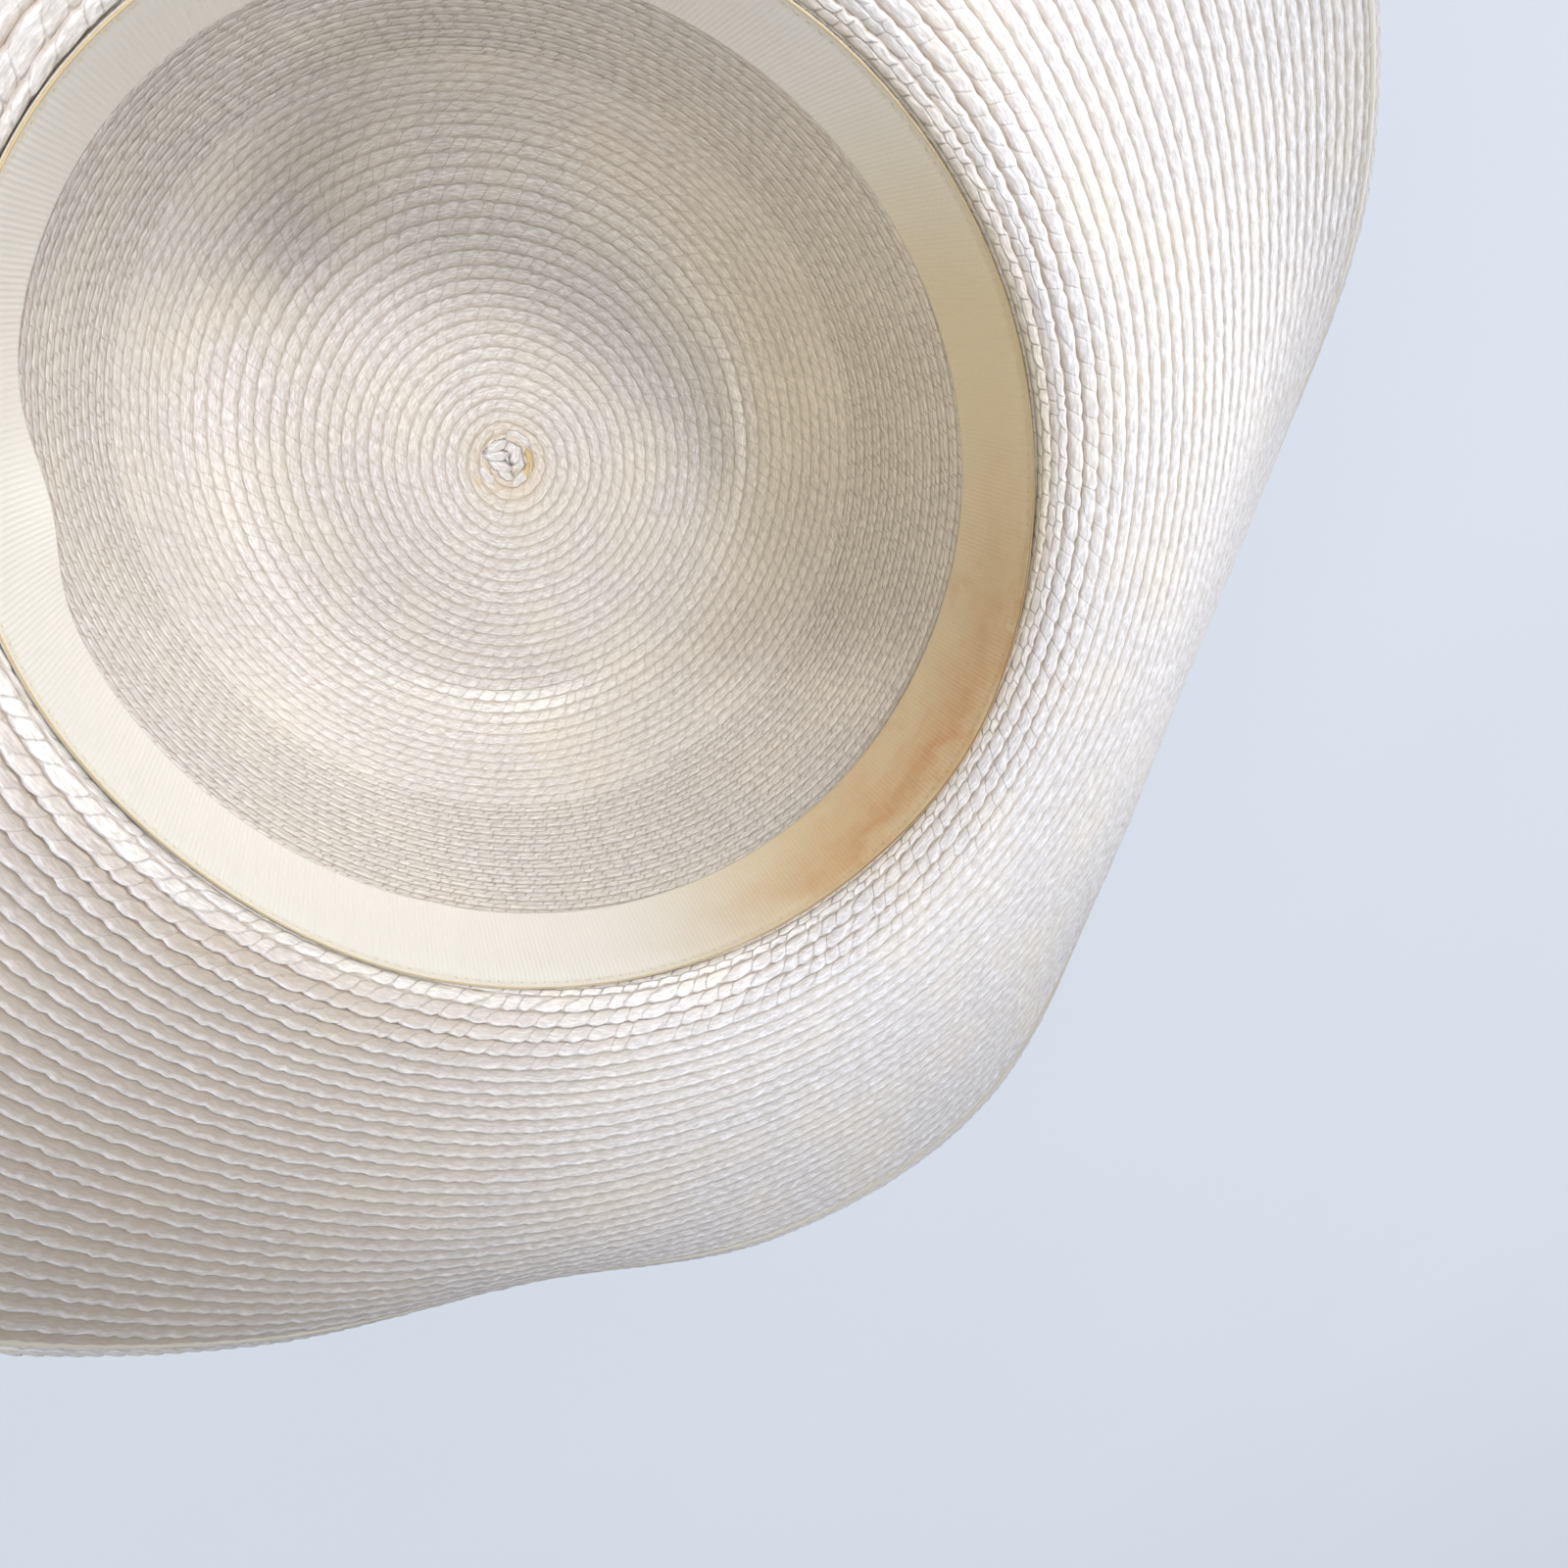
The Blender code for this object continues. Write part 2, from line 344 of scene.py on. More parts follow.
def treePiece(name, mesh, treeAndSockets, values):
    # an object whose mesh is what the tree makes of the given one
    tree, sockets = treeAndSockets
    made = newObject(name, mesh)
    modifier = made.modifiers.new("made", "NODES")
    modifier.node_group = tree
    for label, value in values.items():
        modifier[sockets[label]] = value
    return made


def thicken(made, thickness):
    # turns a sheet into a wall, grown away from the hollow
    solid = made.modifiers.new("thickness", "SOLIDIFY")
    solid.thickness = thickness * mm
    solid.offset = -1.0


def plainMesh(made, dropped=()):
    # the evaluated result as a mesh of its own, without its modifiers and the named values no longer needed
    bpy.context.view_layer.update()
    depsgraph = bpy.context.evaluated_depsgraph_get()
    mesh = bpy.data.meshes.new_from_object(made.evaluated_get(depsgraph), depsgraph=depsgraph)
    old = made.data
    made.modifiers.clear()
    made.data = mesh
    bpy.data.meshes.remove(old)
    mesh.name = made.name
    for label in dropped:
        if label in mesh.attributes:
            mesh.attributes.remove(mesh.attributes[label])
    print(made.name, "faces:", len(mesh.polygons))
    return made


def storeValues(mesh, kind, shape, given):
    # named values for the points of a mesh, spread over the shape that the points are laid out in
    for label, values in given.items():
        spread = np.broadcast_to(values, shape).ravel().astype(np.int32 if kind == "INT" else np.float32)
        layer = mesh.attributes.new(label, kind, "POINT").data
        layer.foreach_set("vector" if kind == "FLOAT_VECTOR" else "value", spread)


def faceMesh(name, points, faces, uvs):
    # a smooth mesh from points in mm, with a UV in mm for each corner of each face
    mesh = bpy.data.meshes.new(name)
    mesh.from_pydata((points.reshape(-1, 3) * mm).tolist(), [], faces)
    mesh.shade_smooth()
    mesh.uv_layers.new(name="UVMap").data.foreach_set("uv", np.asarray(uvs, np.float32).ravel())
    return mesh


# Straw
strawLook = {
    "white": "#F7F7FC",
    "ivory": "#ECEBF0",
    "cream": "#EADFC9",
    "between": "#DEDBD7",       # between strands
    "groove": "#A3927E",        # painted shade between rows, over some of the straw's own darker tone
    "tan": "#D8B470",
    "roughness": 0.36,
    "anisotropy": 0.5,
    "lacquer": 0.25,
    "strandWidth": 0.42,        # mm, drawn about twice as wide as the real split strands so that they show
    "strandLength": 2.4,        # mm
    "strandLeans": (20.0, -14.0),
    "plaitScale": (0.42, 0.85, 1.0),
    "blotchScale": 45.0,
    # what each pattern is mapped from and to
    "strandShade": (0.47, 0.66, 1.0, 0.0),
    "plaitShade": (0.35, 0.60, 0.42, 0.0),
    "blotchShade": (0.45, 0.75, 0.0, 0.35),
    "creamShare": 0.9,
    "cellRim": (0.40, 1.20, 0.0, 1.0),
    "cellGapShade": 0.26,           # how far painted shade darkens the gaps between the loops, towards the groove colour
    "tanStart": 2.5 * mm,
    "tanRadius": 15.0 * mm,     # yellowed round the button
    "tanShare": 0.30,
    # strength and depth in mm
    "cellBump": (0.7, 0.30),
    "plaitBump": (0.8, 0.20),
    "strandBump": (0.7, 0.10),
}


def strawMaterial(name, look, grooveShadeStrength):
    # bleached straw, split, plaited and lacquered: satin strands with small glints, cream in places, and
    # painted shade:
    # groove colour between rows and in the gaps between loops, and creamier on the wall in shade
    made, add = newMaterial(name)
    carried = {}
    for label in ("tone", "crest", "open", "warm", "phase", "share", "cells", "lines"):
        carried[label] = add("Attribute", attribute_name=label).outputs["Fac"]
    spot = add("TexCoord").outputs["Object"]
    uv = add("UVMap", uv_map="UVMap")
    # split strands that lean both ways across the row, as plaited
    leans = []
    for lean in look["strandLeans"]:
        place = add("Mapping", {
            "Vector": uv, "Rotation": (0.0, 0.0, math.radians(lean)),
            "Scale": (1 / look["strandLength"], 1 / look["strandWidth"], 1.0)})
        leans.append(add("TexNoise", {"Vector": place, "Scale": 1.0, "Detail": 3.0}))
    strands = add("Math", leans, "MAXIMUM")
    # the plait's small hollows and bulges, and larger blotches
    plaitPlace = add("Mapping", {"Vector": uv, "Scale": look["plaitScale"]})
    plait = add("TexNoise", {"Vector": plaitPlace, "Scale": 1.0, "Detail": 1.5})
    blotch = add("TexNoise", {"Vector": spot, "Scale": look["blotchScale"], "Detail": 4.0})
    # each loop of the braid as a rounded cell: a fourth-power rim round its middle, low between, with painted
    # shade there
    lineAt = add("Math", [carried["share"], carried["lines"]], "MULTIPLY")
    lineNumber = add("Math", [lineAt], "FLOOR")
    lineShare = add("Math", [lineAt], "FRACT")
    staggered = add("Math", [lineNumber, 0.5, carried["phase"]], "MULTIPLY_ADD")
    loopShare = add("Math", [staggered], "FRACT")
    total = 0.0
    for share in (loopShare, lineShare):
        aside = add("Math", [share, 0.5], "SUBTRACT")
        scaled = add("Math", [aside, 0.5], "DIVIDE")
        squared = add("Math", [scaled, scaled], "MULTIPLY")
        total = add("Math", [squared, squared, total], "MULTIPLY_ADD")
    # how far each pattern shows
    shades = {}
    for label, source in (("strandShade", strands), ("plaitShade", plait), ("blotchShade", blotch)):
        shades[label] = add("MapRange", [source, *look[label]])
    # painted shade: the groove colour, laid where a row is low, as far as its points let it reach
    low = add("MapRange", [carried["crest"], 0.05, 0.90, grooveShadeStrength, 0.0])
    grooveShadeShare = add("Math", [low, carried["open"]], "MULTIPLY")
    warmShare = add("Math", [carried["warm"], look["creamShare"]], "MULTIPLY")
    cellRim = add("MapRange", [total, *look["cellRim"]], interpolation_type="SMOOTHSTEP")
    rimShare = add("Math", [cellRim, carried["cells"]], "MULTIPLY")
    rimGapShade = add("Math", [rimShare, look["cellGapShade"]], "MULTIPLY")
    rimDepth = add("Math", [rimShare, -1.0], "MULTIPLY")
    away = add("VectorMath", [spot], "LENGTH")
    yellowed = add(
        "MapRange", [away, look["tanStart"], look["tanRadius"], look["tanShare"], 0.0],
        interpolation_type="SMOOTHSTEP")
    # each layer of colour: how far it covers the last, its colour, and how it is laid on
    colour = linear(look["ivory"])
    for share, tint, blend in (
        (carried["tone"], "white", "MIX"), (warmShare, "cream", "MIX"),
        (shades["strandShade"], "between", "MULTIPLY"), (shades["plaitShade"], "between", "MULTIPLY"),
        (shades["blotchShade"], "cream", "MIX"), (grooveShadeShare, "groove", "MIX"), (rimGapShade, "groove", "MIX"),
        (yellowed, "tan", "MIX"),
    ):
        colour = add("Mix", {0: share, 6: colour, 7: linear(look[tint])}, data_type="RGBA", blend_type=blend)
    bump = {}
    for height, label in ((rimDepth, "cellBump"), (plait, "plaitBump"), (strands, "strandBump")):
        strength, depth = look[label]
        bump["Normal"] = add("Bump", {"Strength": strength, "Distance": depth * mm, "Height": height, **bump})
    shader = add("BsdfPrincipled", {
        "Base Color": colour, "Roughness": look["roughness"], "IOR": 1.5, "Anisotropic": look["anisotropy"],
        "Coat Weight": look["lacquer"], "Coat Roughness": 0.25, **bump,
        "Tangent": add("Tangent", direction_type="UV_MAP", uv_map="UVMap")})
    add("OutputMaterial", {"Surface": shader})
    return made


goldLook = {**strawLook, "white": "#E9D6AC", "ivory": "#DFC490", "tanShare": 0.2}
strawInside = strawMaterial("bleached_straw_braid", strawLook, 0.85)
strawWhite = strawMaterial("bleached_straw_button", {**strawLook, "tanShare": 0.06}, 0.5)
strawGold = strawMaterial("yellowed_straw", goldLook, 0.5)
strawLaps = strawMaterial("bleached_straw_laps", strawLook, 0.9)

# One row of braid: a band lapped over the next row outwards, its outer edge raised in small loops
rowRelief = {
    "loopHeight": 0.34,     # mm that one loop bulges
    "edgeHeight": 0.68,     # mm that the outer edge stands above the next row
    "scallop": 0.42,        # mm that the edge draws in between two loops
    "slant": 0.55,          # loops that lean along the row, as a share of one loop over the band's width
    "uneven": 0.25,
    "seed": 4.0,
}
# for each face: mm between stations, how far behind the inner face it lies, and its relief as a share; then
# across a row, from under the last row to the drop of its own outer edge: place, height of the edge where the
# braid is plain, round and sharp, height of the loops, and how far the colour is kept clear of the painted
# groove shade, where plain and on the side in painted shade
rowFaces = {
    "inside": {
        "step": 1.25, "behind": 0.0, "height": 1.0,
        "share": (-0.08, 0.12, 0.40, 0.66, 0.82, 0.95, 1.05),
        "edge": (-0.45, 0.0, 0.06, 0.25, 0.92, 0.96, -0.30),
        "round": (-0.45, 0.0, 0.40, 0.66, 0.74, 0.55, -0.25),
        "sharp": (-0.45, -0.05, 0.0, 0.08, 0.50, 1.05, -0.30),
        "loops": (0.0, 0.45, 0.95, 1.0, 0.85, 0.6, 0.0),
        "crest": (0.0, 0.25, 0.85, 1.0, 1.0, 0.75, 0.0),
        "shadedCrest": (0.0, 0.0, 0.10, 0.16, 0.45, 1.0, 0.2),
    },
    "outside": {
        "step": 2.5, "behind": 1.75, "height": 0.6,
        "share": (-0.10, 0.30, 0.80, 1.02),
        "edge": (-0.40, 0.25, 0.85, -0.35),
        "round": (-0.40, 0.45, 0.95, -0.35),
        "sharp": (-0.40, 0.25, 0.85, -0.35),
        "loops": (0.0, 0.8, 0.9, 0.0),
        "crest": (0.0, 0.7, 1.0, 0.2),
        "shadedCrest": (0.0, 0.6, 1.0, 0.2),
    },
}
# sides of the hat where the braid differs in shape and in painted shade: middle turn and spread in degrees
rowSides = {
    "near": (298.0, 55.0),      # towards the camera: larger loops, and less painted groove shade on the brim
    "warm": (10.0, 55.0),       # the wall in shade, painted creamier for its warm shade and bounce light
    "round": (15.0, 60.0),      # the brim bends down towards the window, and the rows lie rounder
    "sharp": (225.0, 48.0),     # opposite the window, rows are flat with a sharp edge, and their colour is darkened as painted shade
}
# what each zone of the hat adds to the edge's ridge, which also spreads the painted groove shade, the loops'
# bulge, the drawn cells with their painted gap shade, and the cream, with painted warm shade on the shaded
# wall
rowMix = {
    "ridge": {"all": 0.22, "wall": -0.08, "brim": 0.78},
    "bulge": {"all": 0.60, "wall": 0.15, "brim": -0.20, "lip": 0.6, "nearLip": 0.7, "sharpBrim": 0.7},
    "cells": {"tip": 0.6, "wallLines": 0.75, "brim": 0.12, "firstRows": 0.45, "nearRows": 0.40},
    "cream": {"inside": 0.28, "shadedWarmWall": 0.80},
}


def reliefTree(name):
    # raises the edge and the loops of a band whose points know their run, height shares and directions
    made, add, given, named = newTree(
        name,
        {"Loop Height": 0.0, "Edge Height": 0.0, "Scallop": 0.0, "Slant": 0.0, "Uneven": 0.0, "Seed": 0.0},
        {"FLOAT": ("run", "share", "edge", "loops", "ridge", "bulge"), "FLOAT_VECTOR": ("facing", "outward")})
    # number of loops so far, uneven and leaning
    drift = add("TexNoise", {"W": named["run"], "Scale": 0.45, "Detail": 2.0}, noise_dimensions="1D")
    drifted = add("Math", [drift, 1.6, named["run"]], "MULTIPLY_ADD")
    leaning = add("Math", [named["share"], given["Slant"], drifted], "MULTIPLY_ADD")
    half = add("Math", [leaning, math.pi], "MULTIPLY")
    swing = add("Math", [half], "SINE")
    wave = add("Math", [swing], "ABSOLUTE")
    # each loop's own size
    seeded = add("Math", [named["run"], given["Seed"]], "ADD")
    chance = add("TexNoise", {"W": seeded, "Scale": 1.3, "Detail": 3.0}, noise_dimensions="1D")
    centred = add("MapRange", [chance, 0.25, 0.75, -1.0, 1.0])
    grow = add("Math", [centred, given["Uneven"], 1.0], "MULTIPLY_ADD")
    bulge = add("Math", [named["bulge"], grow], "MULTIPLY")
    drawn = add("Math", [wave, 0.7], "SUBTRACT")
    # height of the loops, height of the edge, and how far the edge draws in
    products = []
    for product, factors in (
        (named["loops"], (bulge, given["Loop Height"], wave)), (named["edge"], (named["ridge"], grow)),
        (drawn, (named["share"], bulge, given["Scallop"])),
    ):
        for factor in factors:
            product = add("Math", [product, factor], "MULTIPLY")
        products.append(product)
    loopRise, edgeRise, aside = products
    rise = add("Math", [edgeRise, given["Edge Height"], loopRise], "MULTIPLY_ADD")
    up = add("VectorMath", {0: named["facing"], "Scale": rise}, "SCALE")
    out = add("VectorMath", {0: named["outward"], "Scale": aside}, "SCALE")
    offset = add("VectorMath", [up, out], "ADD")
    raised = add("GeometryNodeSetPosition", {"Geometry": given["Geometry"], "Offset": offset})
    counted = add("GeometryNodeStoreNamedAttribute", {"Geometry": raised, "Name": "phase", "Value": leaning},
        data_type="FLOAT", domain="POINT")
    endTree(add, counted, given["Material"])
    return made


relief = reliefTree("raised_braid_rows")


def rowPiece(name, firstRow, lastRow, face, lines=1):
    # rows of braid as one long band along the spiral, from one row number to another
    style = rowFaces[face]
    rowAt, turn, edge, pitch, run, loops = braidStations(firstRow, lastRow, style["step"])
    across = {key: np.array(values) for key, values in style.items()}
    width = len(across["share"])
    shape = (len(turn), width)
    distance = np.maximum(edge[:, None] - pitch[:, None] * (1 - across["share"]), 0.3)
    facing = facingAt(turn[:, None], distance)
    points = hatPoint(turn[:, None], distance) - facing * style["behind"]
    outward = unit(np.cross(unit(np.gradient(points, axis=0)), facing))
    corner = np.arange((len(turn) - 1) * width).reshape(-1, width)[:, :-1]
    order = (0, 1, width + 1, width) if face == "inside" else (0, width, width + 1, 1)
    faces = np.stack([corner + step for step in order], -1).reshape(-1, 4)
    # the UV runs along the braid, and each row has its own part of the pattern
    uv = np.stack([
        np.broadcast_to(run[:, None], shape), pitch[:, None] * across["share"] + 7.3 * rowAt[:, None]], -1)
    mesh = faceMesh(name, points, faces.tolist(), uv.reshape(-1, 2)[faces.ravel()])
    near, warm, rounder, sharpShadedSide = (bell(turn, *place)[:, None] for place in rowSides.values())
    onBrim = ramp(distance, crownLength - 1, crownLength + 6)
    onWall = ramp(distance, 45, 75) * (1 - onBrim)
    onLip = np.exp(-(((distance - crownLength - 6.0) / 6.0) ** 2))
    onFirstRows = np.exp(-(((distance - crownLength - 7.0) / 9.0) ** 4))
    rounder, sharpShadedSide = rounder * onBrim, sharpShadedSide * onBrim
    zones = {
        "all": 1.0, "tip": (1 - onWall) * (1 - onBrim), "wall": onWall, "brim": onBrim, "inside": 1 - onBrim,
        "wallLines": lines * onWall, "shadedWarmWall": (1 - onBrim) * onWall * warm, "sharpBrim": sharpShadedSide,
        "lip": onLip, "nearLip": onLip * near, "firstRows": onFirstRows, "nearRows": onFirstRows * near,
    }
    ridge, bulge, cells, cream = (
        sum(amount * zones[zone] for zone, amount in mix.items()) for mix in rowMix.values())
    bent = rounder * (across["round"] - across["edge"]) + sharpShadedSide * (across["sharp"] - across["edge"])
    storeValues(mesh, "FLOAT", shape, {
        "run": loops[:, None], "share": across["share"], "loops": across["loops"],
        # the crest keeps the colour clear of the groove's painted shade; opposite the window it falls, as
        # painted shade
        "edge": across["edge"] + bent, "crest": across["crest"] + sharpShadedSide * (across["shadedCrest"] - across["crest"]),
        "ridge": ridge * style["height"], "bulge": bulge * style["height"],
        "cells": np.clip(cells, 0, 2), "lines": float(lines), "warm": cream,
        # how far the painted groove shade reaches: with the ridge, more inside the crown, less on the brim
        # towards the camera
        "open": np.clip((ridge + 0.25 * (1 - onBrim)) * (1 - 0.35 * near * onBrim), 0, 1),
        "tone": (0.5 + 0.22 * np.sin(run * 0.61) * np.sin(run * 0.137 + 1.0))[:, None],
    })
    storeValues(mesh, "FLOAT_VECTOR", (*shape, 3), {
        "facing": facing * (-1.0 if face == "outside" else 1.0), "outward": outward})
    made = treePiece(name, mesh, relief, {
        "Loop Height": rowRelief["loopHeight"] * mm, "Edge Height": rowRelief["edgeHeight"] * mm,
        "Scallop": rowRelief["scallop"] * mm, "Slant": rowRelief["slant"], "Uneven": rowRelief["uneven"],
        "Seed": rowRelief["seed"], "Material": strawInside})
    return plainMesh(made, ("run", "edge", "loops", "ridge", "bulge", "facing", "outward"))


# the inner face in four pieces from the tip outwards, then the outer face, plainer
strawPieces = [
    rowPiece("tip_braid", braid["firstRow"], 32.0, "inside"),
    rowPiece("wall_braid", 32.0, 54.5, "inside", lines=2),
    rowPiece("inner_brim_braid", 54.5, 69.0, "inside"),
    rowPiece("outer_brim_braid", 69.0, braidEnd, "inside"),
    rowPiece("crown_back_braid", braid["firstRow"], 54.5, "outside"),
    rowPiece("brim_back_braid", 54.5, braidEnd, "outside"),
]

# Base: the laps of braid under the loops, a thin closed wall
lapSizes = {
    "sides": 160,
    "crownRings": 50,
    "brimRings": 28,
    "start": 1.5,           # mm from the tip's middle
    "edgeBare": 0.3,        # mm inside the brim's edge
    "sink": 0.22,
    "thickness": 1.2,
    "patternLength": 700.0,
}
# the laps show only in the gaps between rows, and their colour is mostly the groove's painted shade
lapValues = {"tone": 0.3, "crest": 0.25, "open": 1.0, "warm": 0.5}


def gridMesh(name, points, roundLength, acrossPlaces, cap=False):
    # faces between closed rings of points; UV in mm, round the hat and across the rings
    rings, sides = points.shape[:2]
    faces, uvs = [], []
    for ring in range(rings - 1):
        for side in range(sides):
            after = (side + 1) % sides
            a, b = ring * sides, (ring + 1) * sides
            faces.append((a + side, b + side, b + after, a + after))
            left, right = (roundLength * place / sides for place in (side, side + 1))
            low, high = acrossPlaces[ring], acrossPlaces[ring + 1]
            uvs += [(left, low), (left, high), (right, high), (right, low)]
    if cap:
        faces.append(tuple(range(sides)))
        uvs += [(0.0, 0.0)] * sides
    return faceMesh(name, points, faces, uvs)


lapTurns = np.arange(lapSizes["sides"]) * 360.0 / lapSizes["sides"]
crownSteps = np.linspace(lapSizes["start"], crownLength, lapSizes["crownRings"])[:, None] + 0 * lapTurns
brimShares = np.linspace(0, 1, lapSizes["brimRings"] + 1)[1:, None]
brimSteps = crownLength + brimShares * (brimWidth(lapTurns) - lapSizes["edgeBare"])
lapSteps = np.vstack([crownSteps, brimSteps])
lapPoints = liftedPoint(lapTurns, lapSteps, -lapSizes["sink"])
lapMesh = gridMesh("straw_laps", lapPoints, lapSizes["patternLength"], lapSteps[:, 0], cap=True)
lapMesh.materials.append(strawLaps)
storeValues(lapMesh, "FLOAT", len(lapMesh.vertices), lapValues)
laps = newObject("straw_laps", lapMesh)
thicken(laps, lapSizes["thickness"])
strawPieces.append(laps)

# Ribbon inside the head opening
ribbonSizes = {
    "thickness": 0.5,
    "width": 25.5,
    "reach": -1.1,          # how far its sewn edge lies beyond the start of the lip
    "wallGap": 1.25,        # from the straw's inner face to the ribbon's inner face
    "edgeGap": 0.85,        # the same at the sewn edge
    "ribSpacing": 0.95,
    "ribDepth": 0.15,
    "columnsPerRib": 4,
}
# how far its sewn and free edges stray from level, every 30 degrees
ribbonWaves = {
    "sewn": (-0.9, -0.4, 0.3, 0.0, 0.4, 0.0, 0.4, -1.2, 0.4, 0.3, 0.2, 1.1),
    "free": (0.0, 0.3, 0.0, -0.4, 0.2, -0.3, -0.6, 0.2, 0.0, 0.0, -0.8, -1.2),
}
# slack fold and crease: turn, spread in degrees, depth in mm, and how soon it ends towards the sewn edge
ribbonFolds = ((172.0, 9.0, 3.2, 2.0), (244.0, 2.5, 0.35, 0.5))
# rows of points across it, the first and last close together for the edges
ribbonShares = np.array([0.0, 0.02, 0.2, 0.42, 0.64, 0.80, 0.91, 0.965, 1.0])
ribbonLook = {
    "clean": "#E4E1DA",
    "yellowed": "#D8C8A4",
    "stain": "#C99B6A",
    "core": "#C18C60",      # where the stain is strongest
    # painted shade along the sewn edge, where the ribbon curls over the lip
    "selvedge": "#C4B28C",
    "roughness": 0.62,
    "sheen": 0.25,
    "seamTurn": 100.0,      # where the UV starts, out of the photo's view
    "yellowTurn": 345.0,    # middle of the yellowed part, which also carries painted warm shade
    "yellowFull": 58.0,     # mm from there that are fully yellowed
    "yellowEnd": 125.0,     # mm from there where it is clean
    "push": (34.0, 20.0, 0.0),      # mm that the stain's outline strays
    "pushScale": 0.10,
    "streakScale": (0.9, 0.10, 1.0),
    "bandScale": (0.12, 0.55, 1.0),
}
# sweat stain: turn, share across, how far it reaches each way in degrees and in shares, strength
stainSpots = [
    (322.0, 0.70, 30.0, 0.34, 0.36),
    (316.0, 0.74, 12.0, 0.16, 0.22),
    (330.0, 0.80, 8.0, 0.12, 0.18),
    (303.0, 0.78, 8.0, 0.16, 0.18),
    (343.0, 0.80, 10.0, 0.22, 0.16),
    (328.0, 0.42, 28.0, 0.50, 0.30),
    (298.0, 0.60, 16.0, 0.45, 0.16),
    (352.0, 0.60, 20.0, 0.45, 0.14),
    (316.0, 0.03, 12.0, 0.07, 0.34),
    (311.0, 0.28, 4.0, 0.22, 0.12),
    (324.0, 0.36, 10.0, 0.05, 0.12),
    (347.5, 0.12, 1.6, 0.26, 0.22),
    (346.0, 0.97, 22.0, 0.06, 0.30),
]


def ribbonPoint(turn, share):
    # share is 0 at the free edge and 1 at the sewn edge
    turn, share = np.broadcast_arrays(np.asarray(turn, float), np.asarray(share, float))
    free = -ribbonSizes["width"] + roundTable(ribbonWaves["free"], turn)
    sewn = ribbonSizes["reach"] + roundTable(ribbonWaves["sewn"], turn)
    hug = np.clip((share - 0.75) / 0.25, 0, 1) ** 2
    gap = ribbonSizes["wallGap"] + hug * (ribbonSizes["edgeGap"] - ribbonSizes["wallGap"])
    for middle, spread, depth, power in ribbonFolds:
        gap = gap + depth * bell(turn, middle, spread) * (1 - share) ** power
    return liftedPoint(turn, crownLength + free + share * (sewn - free), gap)


